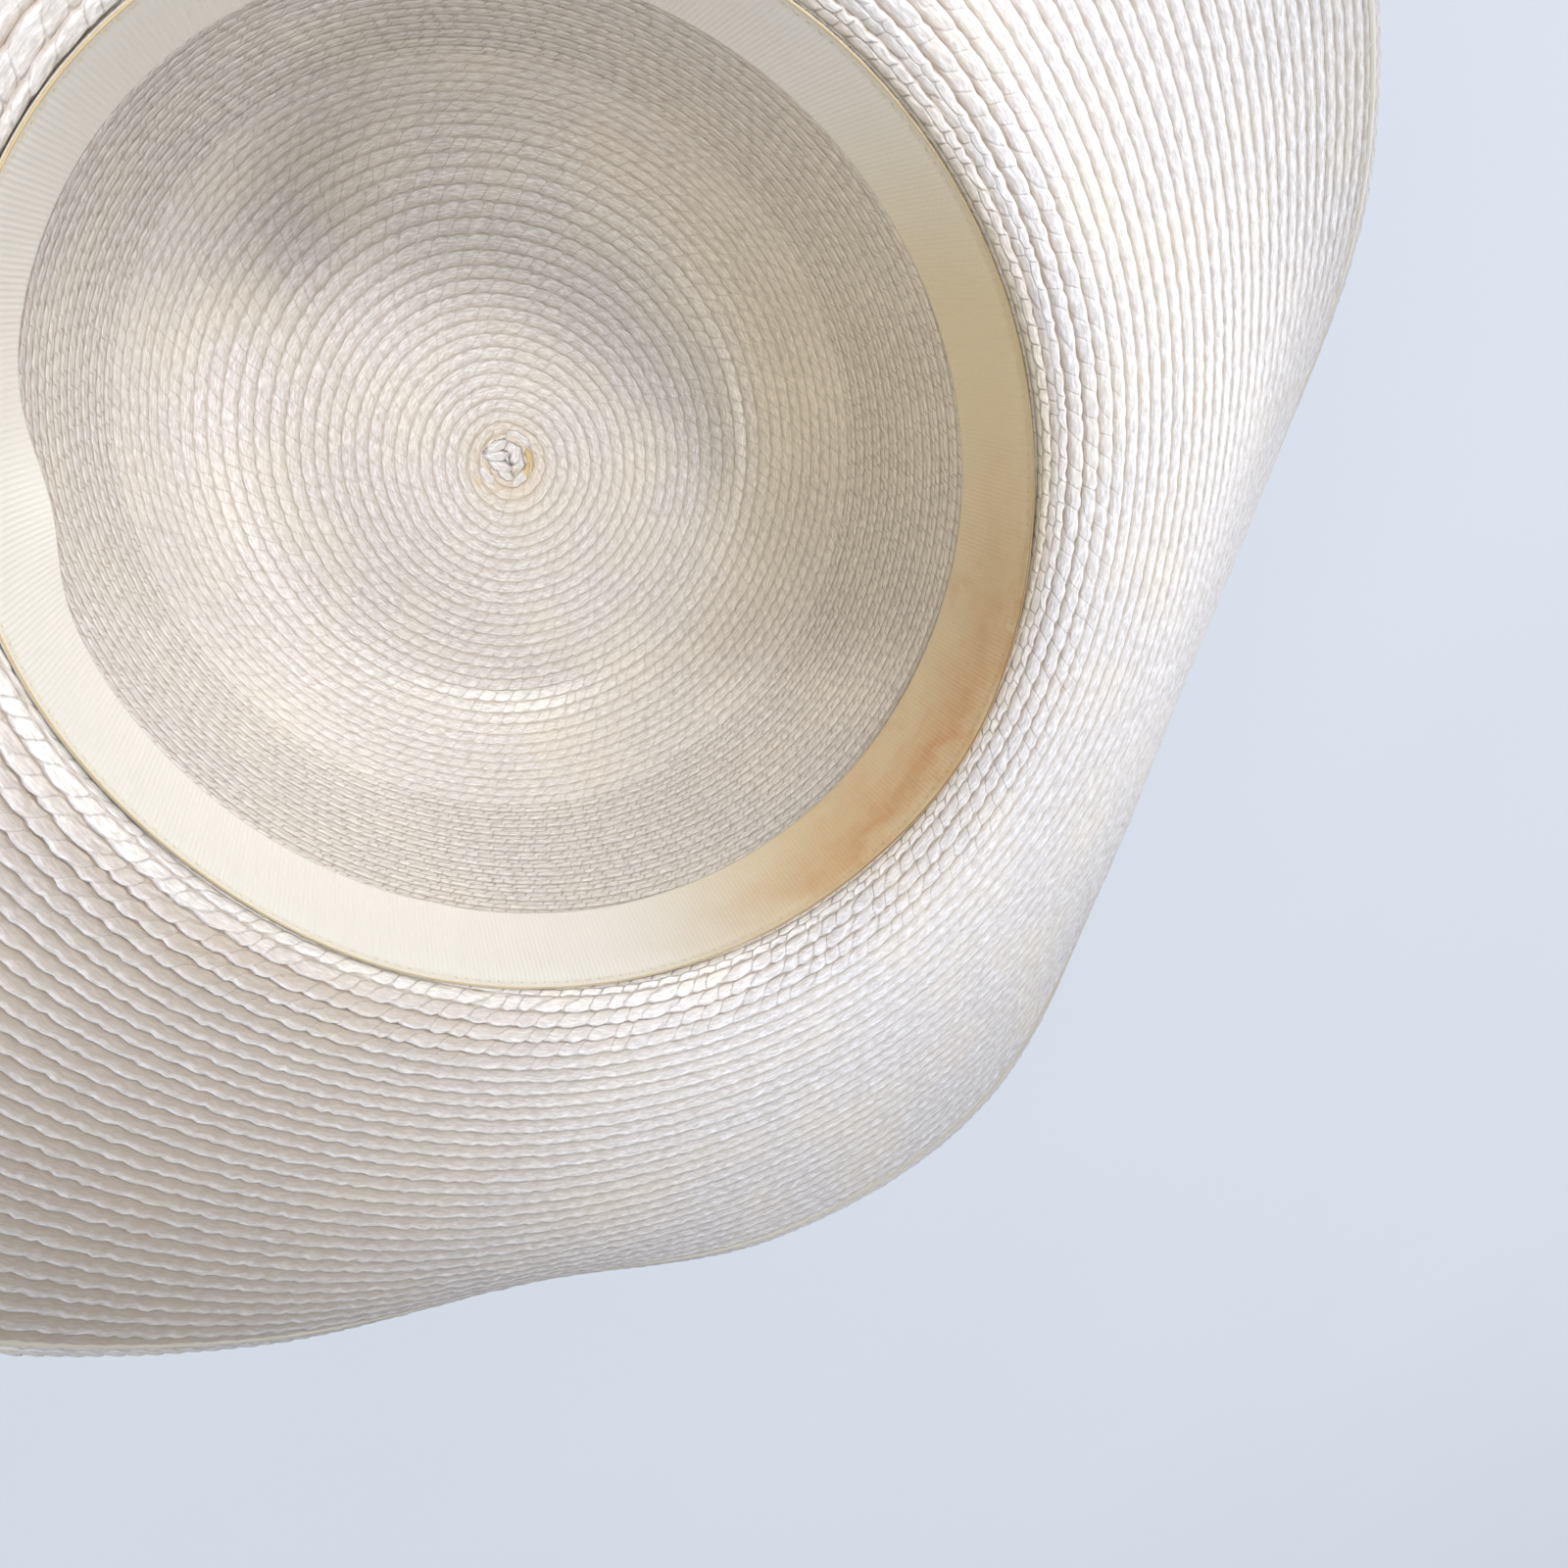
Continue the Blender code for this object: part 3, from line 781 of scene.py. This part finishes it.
def ribbonMaterial(name, look, lengthMm, widthMm):
    # woven rayon grosgrain: a soft sheen along close crosswise ribs, yellowed and sweat-stained by wear, with
    # painted warm shade round the front and painted shade along the sewn edge
    made, add = newMaterial(name)
    uv = add("UVMap", uv_map="UVMap")
    drift = add("TexNoise", {"Vector": uv, "Scale": look["pushScale"], "Detail": 5.0, "Roughness": 0.6})
    centred = add("VectorMath", [drift.outputs["Color"], (0.5, 0.5, 0.5)], "SUBTRACT")
    pushed = add("VectorMath", [centred, look["push"], uv], "MULTIPLY_ADD")
    total = 0.0
    for turn, share, reachTurn, reachShare, strength in stainSpots:
        middle = ((turn - look["seamTurn"]) % 360.0 / 360.0 * lengthMm, share * widthMm, 0.0)
        reach = (reachTurn / 360.0 * lengthMm, reachShare * widthMm)
        aside = add("VectorMath", [pushed, middle], "SUBTRACT")
        scaled = add("VectorMath", [aside, (1 / reach[0], 1 / reach[1], 0.0)], "MULTIPLY")
        squared = add("VectorMath", [scaled, scaled], "DOT_PRODUCT")
        minus = add("Math", [squared, -1.0], "MULTIPLY")
        fading = add("Math", [minus], "EXPONENT")
        total = add("Math", [fading, strength, total], "MULTIPLY_ADD")
    # blotches, and streaks that run along the ribs
    streakPlace = add("Mapping", {"Vector": uv, "Scale": look["streakScale"]})
    streaks = add("TexNoise", {"Vector": streakPlace, "Scale": 1.0, "Detail": 4.0})
    bandPlace = add("Mapping", {"Vector": uv, "Scale": look["bandScale"]})
    bands = add("TexNoise", {"Vector": bandPlace, "Scale": 1.0, "Detail": 5.0})
    uneven = add("Math", [streaks, bands], "ADD")
    unevenShare = add("MapRange", [uneven, 0.60, 1.40, 0.84, 1.16])
    stained = add("Math", [total, unevenShare], "MULTIPLY", use_clamp=True)
    # yellowed round the front, partly real wear and partly painted warm shade, clean towards the sides
    xy = add("SeparateXYZ", [uv]).outputs
    yellowPlace = (look["yellowTurn"] - look["seamTurn"]) / 360.0 * lengthMm
    aside = add("Math", [xy[0], yellowPlace], "SUBTRACT")
    away = add("Math", [aside], "ABSOLUTE")
    yellowAndShadeShare = add("MapRange", [away, look["yellowFull"], look["yellowEnd"], 1.0, 0.0],
        interpolation_type="SMOOTHSTEP")
    fine = add("TexNoise", {"Vector": uv, "Scale": 1.4, "Detail": 3.0})
    fineShare = add("MapRange", [fine, 0.3, 0.7, -0.10, 0.10])
    yellowAndShade = add("Math", [yellowAndShadeShare, fineShare], "ADD", use_clamp=True)
    coreShare = add("MapRange", [stained, 0.55, 1.2, 0.0, 1.0])
    stainColour = add("Mix", {0: coreShare, 6: linear(look["stain"]), 7: linear(look["core"])},
        data_type="RGBA")
    # painted shade darkens the last strip by the sewn edge
    sewnEdgeShade = add("MapRange", [xy[1], 0.90 * widthMm, 0.98 * widthMm, 0.0, 0.25],
        interpolation_type="SMOOTHSTEP")
    colour = linear(look["clean"])
    for share, tint, blend in (
        (yellowAndShade, linear(look["yellowed"]), "MIX"), (stained, stainColour, "MIX"),
        (sewnEdgeShade, linear(look["selvedge"]), "MULTIPLY"),
    ):
        colour = add("Mix", {0: share, 6: colour, 7: tint}, data_type="RGBA", blend_type=blend)
    # weave: threads across the ribs, 0.3 mm, drawn a little coarser than real
    weave = add("TexWave", {"Vector": uv, "Scale": 0.5, "Distortion": 1.5, "Detail": 2.0},
        bands_direction="Y")
    bump = add("Bump", {"Strength": 0.25, "Distance": 0.06 * mm, "Height": weave.outputs["Fac"]})
    shader = add("BsdfPrincipled", {
        "Base Color": colour, "Roughness": look["roughness"], "IOR": 1.47, "Specular IOR Level": 0.3,
        "Sheen Weight": look["sheen"], "Sheen Roughness": 0.4, "Normal": bump})
    add("OutputMaterial", {"Surface": shader})
    return made


def ribTree(name):
    # raises crosswise ribs on a band whose points know how far round and across they lie
    made, add, given, named = newTree(
        name, {"Ribs": 1, "Rib Depth": 0.0, "Free Edge": 0.0, "Selvedge": 1.0},
        {"FLOAT": ("around", "across"), "FLOAT_VECTOR": ("inwards",)})
    turns = add("Math", [named["around"], given["Ribs"]], "MULTIPLY")
    angle = add("Math", [turns, 2 * math.pi], "MULTIPLY")
    wave = add("Math", [angle], "COSINE")
    past = add("Math", [named["across"], given["Free Edge"]], "GREATER_THAN")
    before = add("Math", [named["across"], given["Selvedge"]], "LESS_THAN")
    body = add("Math", [past, before], "MULTIPLY")
    ribbed = add("Math", [wave, body], "MULTIPLY")
    half = add("Math", [ribbed, 0.5, 0.5], "MULTIPLY_ADD")
    rise = add("Math", [half, given["Rib Depth"]], "MULTIPLY")
    offset = add("VectorMath", {0: named["inwards"], "Scale": rise}, "SCALE")
    raised = add("GeometryNodeSetPosition", {"Geometry": given["Geometry"], "Offset": offset})
    endTree(add, raised, given["Material"])
    return made


def cordTree(name):
    # a round cord along a closed line of mesh edges
    made, add, given, named = newTree(name, {"Radius": 0.001, "Sides": 6}, {})
    line = add("GeometryNodeMeshToCurve", {"Mesh": given["Geometry"]})
    ring = add("GeometryNodeCurvePrimitiveCircle", {"Resolution": given["Sides"], "Radius": given["Radius"]},
        mode="RADIUS")
    tube = add("GeometryNodeCurveToMesh", {"Curve": line, "Profile Curve": ring})
    smooth = add("GeometryNodeSetShadeSmooth", {"Geometry": tube})
    endTree(add, smooth, given["Material"])
    return made


# its length is taken along the middle, where it is laid round the wall
middleLine = ribbonPoint(np.arange(0, 360, 0.25), 0.5)
ribbonLength = np.linalg.norm(np.diff(np.vstack([middleLine, middleLine[:1]]), axis=0), axis=1).sum()
ribbonWidth = ribbonSizes["width"] + ribbonSizes["reach"]
ribCount = round(ribbonLength / ribbonSizes["ribSpacing"])
columns = ribCount * ribbonSizes["columnsPerRib"]
ribbonTurns = ribbonLook["seamTurn"] + np.arange(columns) * 360.0 / columns
ribbonPoints = ribbonPoint(ribbonTurns, ribbonShares[:, None])
ribbonMesh = gridMesh("sweatband_ribbon", ribbonPoints, ribbonLength, ribbonShares * ribbonWidth)
storeValues(ribbonMesh, "FLOAT_VECTOR", ribbonPoints.shape, {"inwards": inwardsAt(ribbonPoints)})
storeValues(ribbonMesh, "FLOAT", ribbonPoints.shape[:2], {
    "around": np.arange(columns) / columns, "across": ribbonShares[:, None]})
ribbon = treePiece("sweatband_ribbon", ribbonMesh, ribTree("crosswise_ribs"), {
    "Ribs": ribCount, "Rib Depth": ribbonSizes["ribDepth"] * mm, "Free Edge": 0.01, "Selvedge": 0.97,
    "Material": ribbonMaterial("rayon_grosgrain_ribbon", ribbonLook, ribbonLength, ribbonWidth)})
thicken(ribbon, ribbonSizes["thickness"])
plainMesh(ribbon)
print("ribbon length mm:", round(ribbonLength, 1), "ribs:", ribCount)

# Leaf of straw or stitch of thread, laid in copies along a line or at given places
leaf = {
    "length": 7.6,          # mm of pattern along it
    "width": 3.70,          # mm of pattern across it
    "liftOut": 0.10,        # how far the outer edge stands up, as a slope
    "liftAhead": 0.012,     # how far the leading end stands up, as a slope
    "stray": 1.5,           # degrees that one leaf strays from the row
    "uneven": 0.09,
    "seed": 5,
}
# along it: place, half width, shift of its middle outwards, height; across it: place and height
leafOutline = {
    "along": (-0.50, -0.28, -0.05, 0.20, 0.37, 0.50),
    "half": (0.38, 0.46, 0.49, 0.50, 0.46, 0.36),
    "shift": (-0.06, -0.02, 0.0, 0.0, -0.01, -0.06),
    "dome": (0.45, 0.85, 0.98, 1.0, 0.92, 0.50),
}
leafAcross = {"side": (-1.0, -0.50, 0.10, 0.66, 1.0), "rise": (0.0, 0.28, 0.55, 1.0, 0.25)}
plainOutline = {
    "along": (-0.50, -0.22, 0.22, 0.50),
    "half": (0.20, 0.46, 0.48, 0.16),
    "shift": (-0.08, -0.02, 0.01, 0.05),
    "dome": (0.3, 0.9, 1.0, 0.4),
}
plainAcross = {"side": (-1.0, -0.2, 0.75, 1.0), "rise": (0.0, 0.55, 1.0, 0.2)}


def leafShape(name, outline, across):
    # leaf with a flat back, one unit long and wide; its faces are wound for the mirrored row frame
    columns, width = len(outline["along"]), len(across["side"])
    points, crest, uvs = [], [], []
    for place, half, shift, dome in zip(*outline.values()):
        for side, rise in zip(*across.values()):
            points.append((place, shift + side * half, dome * rise))
            crest.append(rise if side < 0.9 else 0.5)
            uvs.append((place * leaf["length"], (shift + side * half) * leaf["width"]))
    faces = []
    for column in range(columns - 1):
        for step in range(width - 1):
            a = column * width + step
            faces.append((a, a + 1, a + width + 1, a + width))
    first = [column * width for column in range(columns)]
    last = [column * width + width - 1 for column in range(columns)]
    ends = list(range((columns - 1) * width + 1, columns * width - 1))
    starts = list(range(1, width - 1))
    faces.append(tuple(first + ends + last[::-1] + starts[::-1]))
    mesh = bpy.data.meshes.new(name)
    mesh.from_pydata(points, [], faces)
    layer = mesh.uv_layers.new(name="UVMap")
    for loop in mesh.loops:
        layer.data[loop.index].uv = uvs[loop.vertex_index]
    storeValues(mesh, "FLOAT", len(points), {"crest": crest})
    mesh.polygons.foreach_set("use_smooth", [True] * (len(faces) - 1) + [False])
    return newObject(name, mesh)


def laidTree(name):
    # puts a copy of a small shape at each point, bends it to the row and lays it in the surface
    made, add, given, named = newTree(
        name, {"Length": 1.0, "Width": 1.0, "Thickness": 1.0, "Lift Out": 0.0, "Lift Ahead": 0.0, "Sink": 0.0,
               "Twist": 0.0, "Stray": 0.0, "Uneven": 0.0, "Seed": 0},
        {"FLOAT_VECTOR": ("place", "along", "outward", "facing"),
         "FLOAT": ("bend", "size", "spread"), "INT": ("number",)}, {"Shape": "NodeSocketObject"})
    shape = add("GeometryNodeObjectInfo", {"Object": given["Shape"]}, transform_space="ORIGINAL")
    copies = add("GeometryNodeInstanceOnPoints", {
        "Points": given["Geometry"], "Instance": shape.outputs["Geometry"]})
    real = add("GeometryNodeRealizeInstances", {"Geometry": copies})
    here = add("GeometryNodeInputPosition")
    local = add("VectorMath", [here, named["place"]], "SUBTRACT")
    # its own length, width, thickness and direction, each copy a little different
    chances = []
    for extra in range(4):
        seed = add("Math", [given["Seed"], float(extra)], "ADD")
        chances.append(add("FunctionNodeRandomValue", {2: -1.0, 3: 1.0, "ID": named["number"], "Seed": seed},
            data_type="FLOAT"))
    grow = [
        add("Math", [chance, given["Uneven"], 1.0], "MULTIPLY_ADD")
        for chance in chances[:3]]
    longer = add("Math", [given["Length"], named["size"]], "MULTIPLY")
    wider = add("Math", [given["Width"], named["spread"]], "MULTIPLY")
    scale = add("CombineXYZ", [longer, wider, given["Thickness"]])
    vary = add("CombineXYZ", grow)
    sized = add("VectorMath", [local, scale], "MULTIPLY")
    varied = add("VectorMath", [sized, vary], "MULTIPLY")
    stray = add("Math", [chances[3], given["Stray"], given["Twist"]], "MULTIPLY_ADD")
    turned = add("VectorRotate", {"Vector": varied, "Angle": stray}, rotation_type="Z_AXIS")
    xyz = add("SeparateXYZ", [turned]).outputs
    # lift: the outer edge over the next row, the leading end over the next copy
    liftedOut = add("Math", [xyz[1], given["Lift Out"], xyz[2]], "MULTIPLY_ADD")
    lifted = add("Math", [xyz[0], given["Lift Ahead"], liftedOut], "MULTIPLY_ADD")
    sunk = add("Math", [lifted, given["Sink"]], "SUBTRACT")
    # bend: straight copies follow the curve of their row
    bendX = add("Math", [xyz[0], named["bend"]], "MULTIPLY")
    alongX = add("Math", [bendX, xyz[1], xyz[0]], "MULTIPLY_ADD")
    halfBend = add("Math", [bendX, -0.5], "MULTIPLY")
    outY = add("Math", [halfBend, xyz[0], xyz[1]], "MULTIPLY_ADD")
    result = named["place"]
    for direction, share in (("along", alongX), ("outward", outY), ("facing", sunk)):
        part = add("VectorMath", {0: named[direction], "Scale": share}, "SCALE")
        result = add("VectorMath", [result, part], "ADD")
    placed = add("GeometryNodeSetPosition", {"Geometry": real, "Position": result})
    endTree(add, placed, given["Material"])
    return made


leafDrawn = leafShape("leaf_shape", leafOutline, leafAcross)
plainDrawn = leafShape("plain_leaf_shape", plainOutline, plainAcross)
laid = laidTree("laid_along_rows")
leafSizes = {
    "Lift Out": leaf["liftOut"], "Lift Ahead": leaf["liftAhead"], "Stray": math.radians(leaf["stray"]),
    "Uneven": leaf["uneven"], "Seed": leaf["seed"],
}
rng = np.random.default_rng(braid["seed"])


def laidPiece(name, places, shape, sizes, material):
    # a piece made of copies of one shape, laid at the given places
    count = len(places["place"])
    mesh = bpy.data.meshes.new(name)
    mesh.vertices.add(count)
    mesh.vertices.foreach_set("co", (places["place"] * mm).ravel().astype(np.float32))
    storeValues(mesh, "FLOAT_VECTOR", (count, 3), {
        "place": places["place"] * mm, "along": places["along"], "facing": places["facing"],
        "outward": places["outward"]})
    storeValues(mesh, "FLOAT", count, {
        "bend": places["bend"] / mm, "size": places["size"], "spread": places["spread"],
        "tone": places["tone"], "open": 1.0})
    storeValues(mesh, "INT", count, {"number": np.arange(count)})
    made = treePiece(name, mesh, laid, {"Shape": shape, "Material": material, **sizes})
    return plainMesh(made, (
        "place", "along", "outward", "facing", "bend", "size", "spread", "open", "number"))


def linePlaces(turns, pointAt, facing, step=0.5):
    # places along a closed line round the hat, for copies that lie along it
    along = unit(pointAt(turns + step) - pointAt(turns - step))
    outward = unit(np.cross(along, facing))
    return {
        "place": pointAt(turns), "along": along, "outward": outward, "facing": np.cross(outward, along),
        "bend": 0.0, "size": 1.0, "spread": 1.0, "tone": np.clip(rng.normal(0.5, 0.2, len(turns)), 0, 1),
    }


# Sewing: a rolled edge thread and a row of small stitches along the ribbon's selvedge
sewing = {
    "stitchStep": 2.3,
    "stitchLength": 1.5,
    "stitchWidth": 0.45,
    "stitchHeight": 0.22,
    "stitchSink": 0.06,
    "stitchTwist": 12.0,    # degrees
    "stitchStray": 8.0,     # degrees
    "share": 0.94,          # place across the ribbon
    "threadRadius": 0.17,
}
# the stain runs into threads at this turn: radians from it that are fully brown, and where it ends
threadStain = {"turn": -35.0, "full": 0.3, "end": 0.8, "share": 0.75}


def threadMaterial(name, dark, pale, brown):
    # twisted cotton thread or a straw cord: matt, mottled, browner where the stain has run into it
    made, add = newMaterial(name)
    spot = add("TexCoord").outputs["Object"]
    mottle = add("TexNoise", {"Vector": spot, "Scale": 180.0, "Detail": 3.0})
    xy = add("SeparateXYZ", [spot]).outputs
    turn = add("Math", [xy[1], xy[0]], "ARCTAN2")
    aside = add("Math", [turn, math.radians(threadStain["turn"])], "SUBTRACT")
    away = add("Math", [aside], "ABSOLUTE")
    stain = add("MapRange", {
        0: away, 1: threadStain["full"], 2: threadStain["end"], 3: threadStain["share"], 4: 0.0})
    colour = linear(pale)
    for share, tint in ((mottle, dark), (stain, brown)):
        colour = add("Mix", {0: share, 6: colour, 7: linear(tint)}, data_type="RGBA")
    shader = add("BsdfPrincipled", {"Base Color": colour, "Roughness": 0.75, "IOR": 1.5})
    add("OutputMaterial", {"Surface": shader})
    return made


def cordPiece(name, points, radius, sides, material):
    # a closed cord through the points
    mesh = bpy.data.meshes.new(name)
    count = len(points)
    mesh.from_pydata((points * mm).tolist(), [(i, (i + 1) % count) for i in range(count)], [])
    made = treePiece(name, mesh, cord, {"Radius": radius * mm, "Sides": sides, "Material": material})
    return plainMesh(made)


def stitchPoint(turn):
    return ribbonPoint(turn, sewing["share"])


cord = cordTree("cord_round_the_hat")
thread = threadMaterial("cotton_sewing_thread", "#B39A70", "#CDBB95", "#8A5A30")
stitchThread = threadMaterial("cotton_stitches", "#CBBB95", "#D8CCAE", "#B58E62")
stitchTurns = np.arange(0, 360, 360.0 / round(ribbonLength / sewing["stitchStep"]))
stitchPlaces = linePlaces(stitchTurns, stitchPoint, inwardsAt(stitchPoint(stitchTurns)))
stitches = laidPiece("ribbon_stitches", stitchPlaces, plainDrawn, {
    "Length": sewing["stitchLength"] * mm, "Width": sewing["stitchWidth"] * mm,
    "Thickness": sewing["stitchHeight"] * mm, "Sink": sewing["stitchSink"] * mm,
    "Twist": math.radians(sewing["stitchTwist"]), "Stray": math.radians(sewing["stitchStray"]),
    "Uneven": 0.15, "Seed": 3}, stitchThread)
cordTurns = np.arange(0, 360, 0.5)
edgeThread = cordPiece("edge_thread", ribbonPoint(cordTurns, 1.0), sewing["threadRadius"], 6, thread)

# Rim: the last row of braid, folded over a cord along the brim's edge, and a narrow beige strip inside it,
# painted shade
rim = {
    "inset": 0.9,
    "sink": 0.35,
    "cordRadius": 0.75,
    "stripInset": 2.2,
    "stripLift": 0.10,
    "stripRadius": 0.62,
    "round": 1140.0,        # mm round the brim
    "step": 3.6,            # mm from loop to loop
    "length": 7.0,
    "width": 1.9,
    "thickness": 0.6,
    "twist": 9.0,           # degrees
}


def rimPoint(turn):
    return hatPoint(turn, edgeDistance(turn, rim["inset"]))


strawRim = threadMaterial("bleached_straw_cord", "#E4E1DA", "#F6F6F8", "#E4E1DA")
# a beige that stands in for the shade in the groove just inside the rim cord
edgeStripShade = threadMaterial("natural_straw_edge", "#CFC9BA", "#DCD8CC", "#CCC5B4")
rimLine = liftedPoint(cordTurns, edgeDistance(cordTurns, rim["inset"]), -rim["sink"])
stripLine = liftedPoint(cordTurns, edgeDistance(cordTurns, rim["stripInset"]), rim["stripLift"])
rimTurns = np.arange(0, 360, 360.0 / round(rim["round"] / rim["step"]))
rimPlaces = linePlaces(rimTurns, rimPoint, facingAt(rimTurns, edgeDistance(rimTurns, rim["inset"])))
strawPieces += [
    cordPiece("brim_rim_cord", rimLine, rim["cordRadius"], 8, strawRim),
    cordPiece("brim_edge_strip", stripLine, rim["stripRadius"], 8, edgeStripShade),
    laidPiece("brim_rim_braid", rimPlaces, leafDrawn, {
        **leafSizes, "Length": rim["length"] * mm, "Width": rim["width"] * mm,
        "Thickness": rim["thickness"] * mm, "Twist": math.radians(rim["twist"])}, strawInside),
]

# Button: the loops that start the spiral, stacked at the tip's middle
# x, y in mm, way it points, length, width, height above the tip
buttonLoops = {
    "white": np.array([
        (0.6, 0.4, 100.0, 8.4, 7.6, 0.10), (3.4, 5.2, 145.0, 6.4, 3.6, 0.20),
        (2.0, -4.4, 35.0, 6.6, 3.6, 0.20), (-5.4, -2.6, -60.0, 6.0, 3.2, 0.15),
        (-2.4, 4.1, 20.0, 5.8, 3.4, 0.42), (-2.9, 1.9, 0.0, 6.2, 3.4, 0.55),
        (-2.1, -0.6, -20.0, 5.8, 3.4, 0.66), (-1.0, -2.8, -40.0, 5.0, 3.0, 0.70),
        (1.8, 1.4, 80.0, 4.6, 2.8, 0.50),
    ]),
    "gold": np.array([
        (5.4, 0.2, 98.0, 6.0, 2.0, 0.30), (4.2, -2.8, 70.0, 4.6, 1.8, 0.30),
        (-8.0, -4.2, -62.0, 5.0, 1.7, 0.10),
    ]),
}
button = {"thickness": 0.38, "sink": 0.22, "bend": 0.08}
for label, straw in (("white", strawWhite), ("gold", strawGold)):
    loops = buttonLoops[label]
    angles = np.radians(loops[:, 2])
    along = np.stack([np.cos(angles), np.sin(angles), np.zeros(len(loops))], -1)
    facing = np.array([0.0, 0.0, 1.0])
    places = {
        "place": np.column_stack([loops[:, :2], hat["strawWall"] + loops[:, 5]]), "along": along,
        "facing": facing, "outward": np.cross(along, facing), "bend": button["bend"], "size": loops[:, 3],
        "spread": loops[:, 4], "tone": np.linspace(0.5, 1.0, len(loops)),
    }
    strawPieces.append(laidPiece("crown_button_" + label, places, plainDrawn, {
        **leafSizes, "Length": mm, "Width": mm, "Thickness": button["thickness"] * mm,
        "Sink": button["sink"] * mm}, straw))

for shape in (leafDrawn, plainDrawn):
    bpy.data.objects.remove(shape)

# Ride and replace
ribbonPieces = [ribbon, stitches, edgeThread]
for piece in strawPieces:
    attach(piece, "root")
    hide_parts("straw_body")
for piece in ribbonPieces:
    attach(piece, "root")
    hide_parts("sweatband")

# Stage: a plain pale floor, soft light and the camera
floorSizes = {"half": 6.0, "height": -0.0006}   # m
floorLook, add = newMaterial("pale_floor")
floorPlace = add("TexCoord").outputs["Object"]
floorNoise = add("TexNoise", {"Vector": floorPlace, "Scale": 4.0, "Detail": 3.0})
floorColour = add("Mix", {0: floorNoise, 6: linear("#DBE1EC"), 7: linear("#DEE5EE")}, data_type="RGBA")
floorShader = add("BsdfPrincipled", {"Base Color": floorColour, "Roughness": 0.8})
add("OutputMaterial", {"Surface": floorShader})
floorMesh = bpy.data.meshes.new("floor")
floorMesh.from_pydata(
    [(x * floorSizes["half"], y * floorSizes["half"], floorSizes["height"])
     for x, y in ((-1, -1), (1, -1), (1, 1), (-1, 1))], [], [(0, 1, 2, 3)])
floorMesh.materials.append(floorLook)
floor = newObject("floor", floorMesh)

bpy.context.scene.view_settings.view_transform = "Standard"
world = bpy.data.worlds.new("studio")
bpy.context.scene.world = world
world.use_nodes = True
background = world.node_tree.nodes["Background"]
background.inputs["Color"].default_value = linear("#F4F6FA")
background.inputs["Strength"].default_value = 0.55

# each light: turn and height it stands at in degrees, distance and aim in m, size, power, spread, and what
# it lights
lights = {
    "window": (45.0, 25.0, 0.70, (0.0, 0.0, 0.08), 0.25, 0.050, 60.0, "hat"),
    "brim": (10.0, 45.0, 0.60, (0.15, 0.02, 0.10), 0.20, 0.032, 40.0, "hat"),
    "brimLeft": (40.0, 42.0, 0.60, (-0.08, -0.14, 0.10), 0.25, 0.006, 40.0, "hat"),
    "crownUpper": (60.0, 60.0, 0.80, (-0.045, 0.09, 0.05), 0.28, 0.108, 16.0, "hat"),
    "crownRight": (205.0, 58.0, 0.80, (0.07, 0.05, 0.03), 0.32, 0.070, 17.0, "hat"),
    "crownLeft": (-5.0, 36.0, 0.80, (-0.085, 0.02, 0.06), 0.24, 0.046, 15.0, "hat"),
    "crownFront": (80.0, 36.0, 0.80, (0.0, -0.085, 0.04), 0.27, 0.070, 15.0, "hat"),
    "lip": (60.0, 60.0, 0.80, (0.05, -0.11, 0.10), 0.20, 0.016, 14.0, "hat"),
    "room": (48.0, 60.0, 6.00, (0.2, 0.0, 0.0), 2.50, 205.0, 180.0, "floor"),
}
groups = {}
for name, pieces in (("hat", strawPieces + ribbonPieces), ("floor", [floor])):
    groups[name] = bpy.data.collections.new("lit_" + name)
    for piece in pieces:
        groups[name].objects.link(piece)
for name, (turn, height, distance, aim, size, power, spread, lit) in lights.items():
    data = bpy.data.lights.new(name, "AREA")
    data.shape = "DISK"
    data.size = size
    data.energy = power
    data.spread = math.radians(spread)
    lamp = newObject(name, data)
    turn, height = math.radians(turn), math.radians(height)
    towards = Vector((math.cos(turn) * math.cos(height), math.sin(turn) * math.cos(height), math.sin(height)))
    lamp.location = Vector(aim) + distance * towards
    lamp.rotation_euler = towards.to_track_quat("Z", "Y").to_euler()
    lamp.light_linking.receiver_collection = groups[lit]

view = {
    "place": (-40.5, 50.7, 278.5),      # mm
    "right": (0.92226, 0.0, 0.38657),
    "down": (-0.17992, -0.88508, 0.42925),
    "ahead": (0.34215, -0.46543, -0.81628),
    "lens": 24.0,
}
cameraData = bpy.data.cameras.new("camera")
cameraData.lens = view["lens"]
cameraData.sensor_width = 36.0
cameraData.clip_start = 0.01
camera = newObject("camera", cameraData)
axes = Matrix((Vector(view["right"]), -Vector(view["down"]), -Vector(view["ahead"]))).transposed()
camera.matrix_world = Matrix.Translation(Vector(view["place"]) * mm) @ axes.to_4x4()
bpy.context.scene.camera = camera
bpy.context.view_layer.update()
print("stage, lights and camera placed")
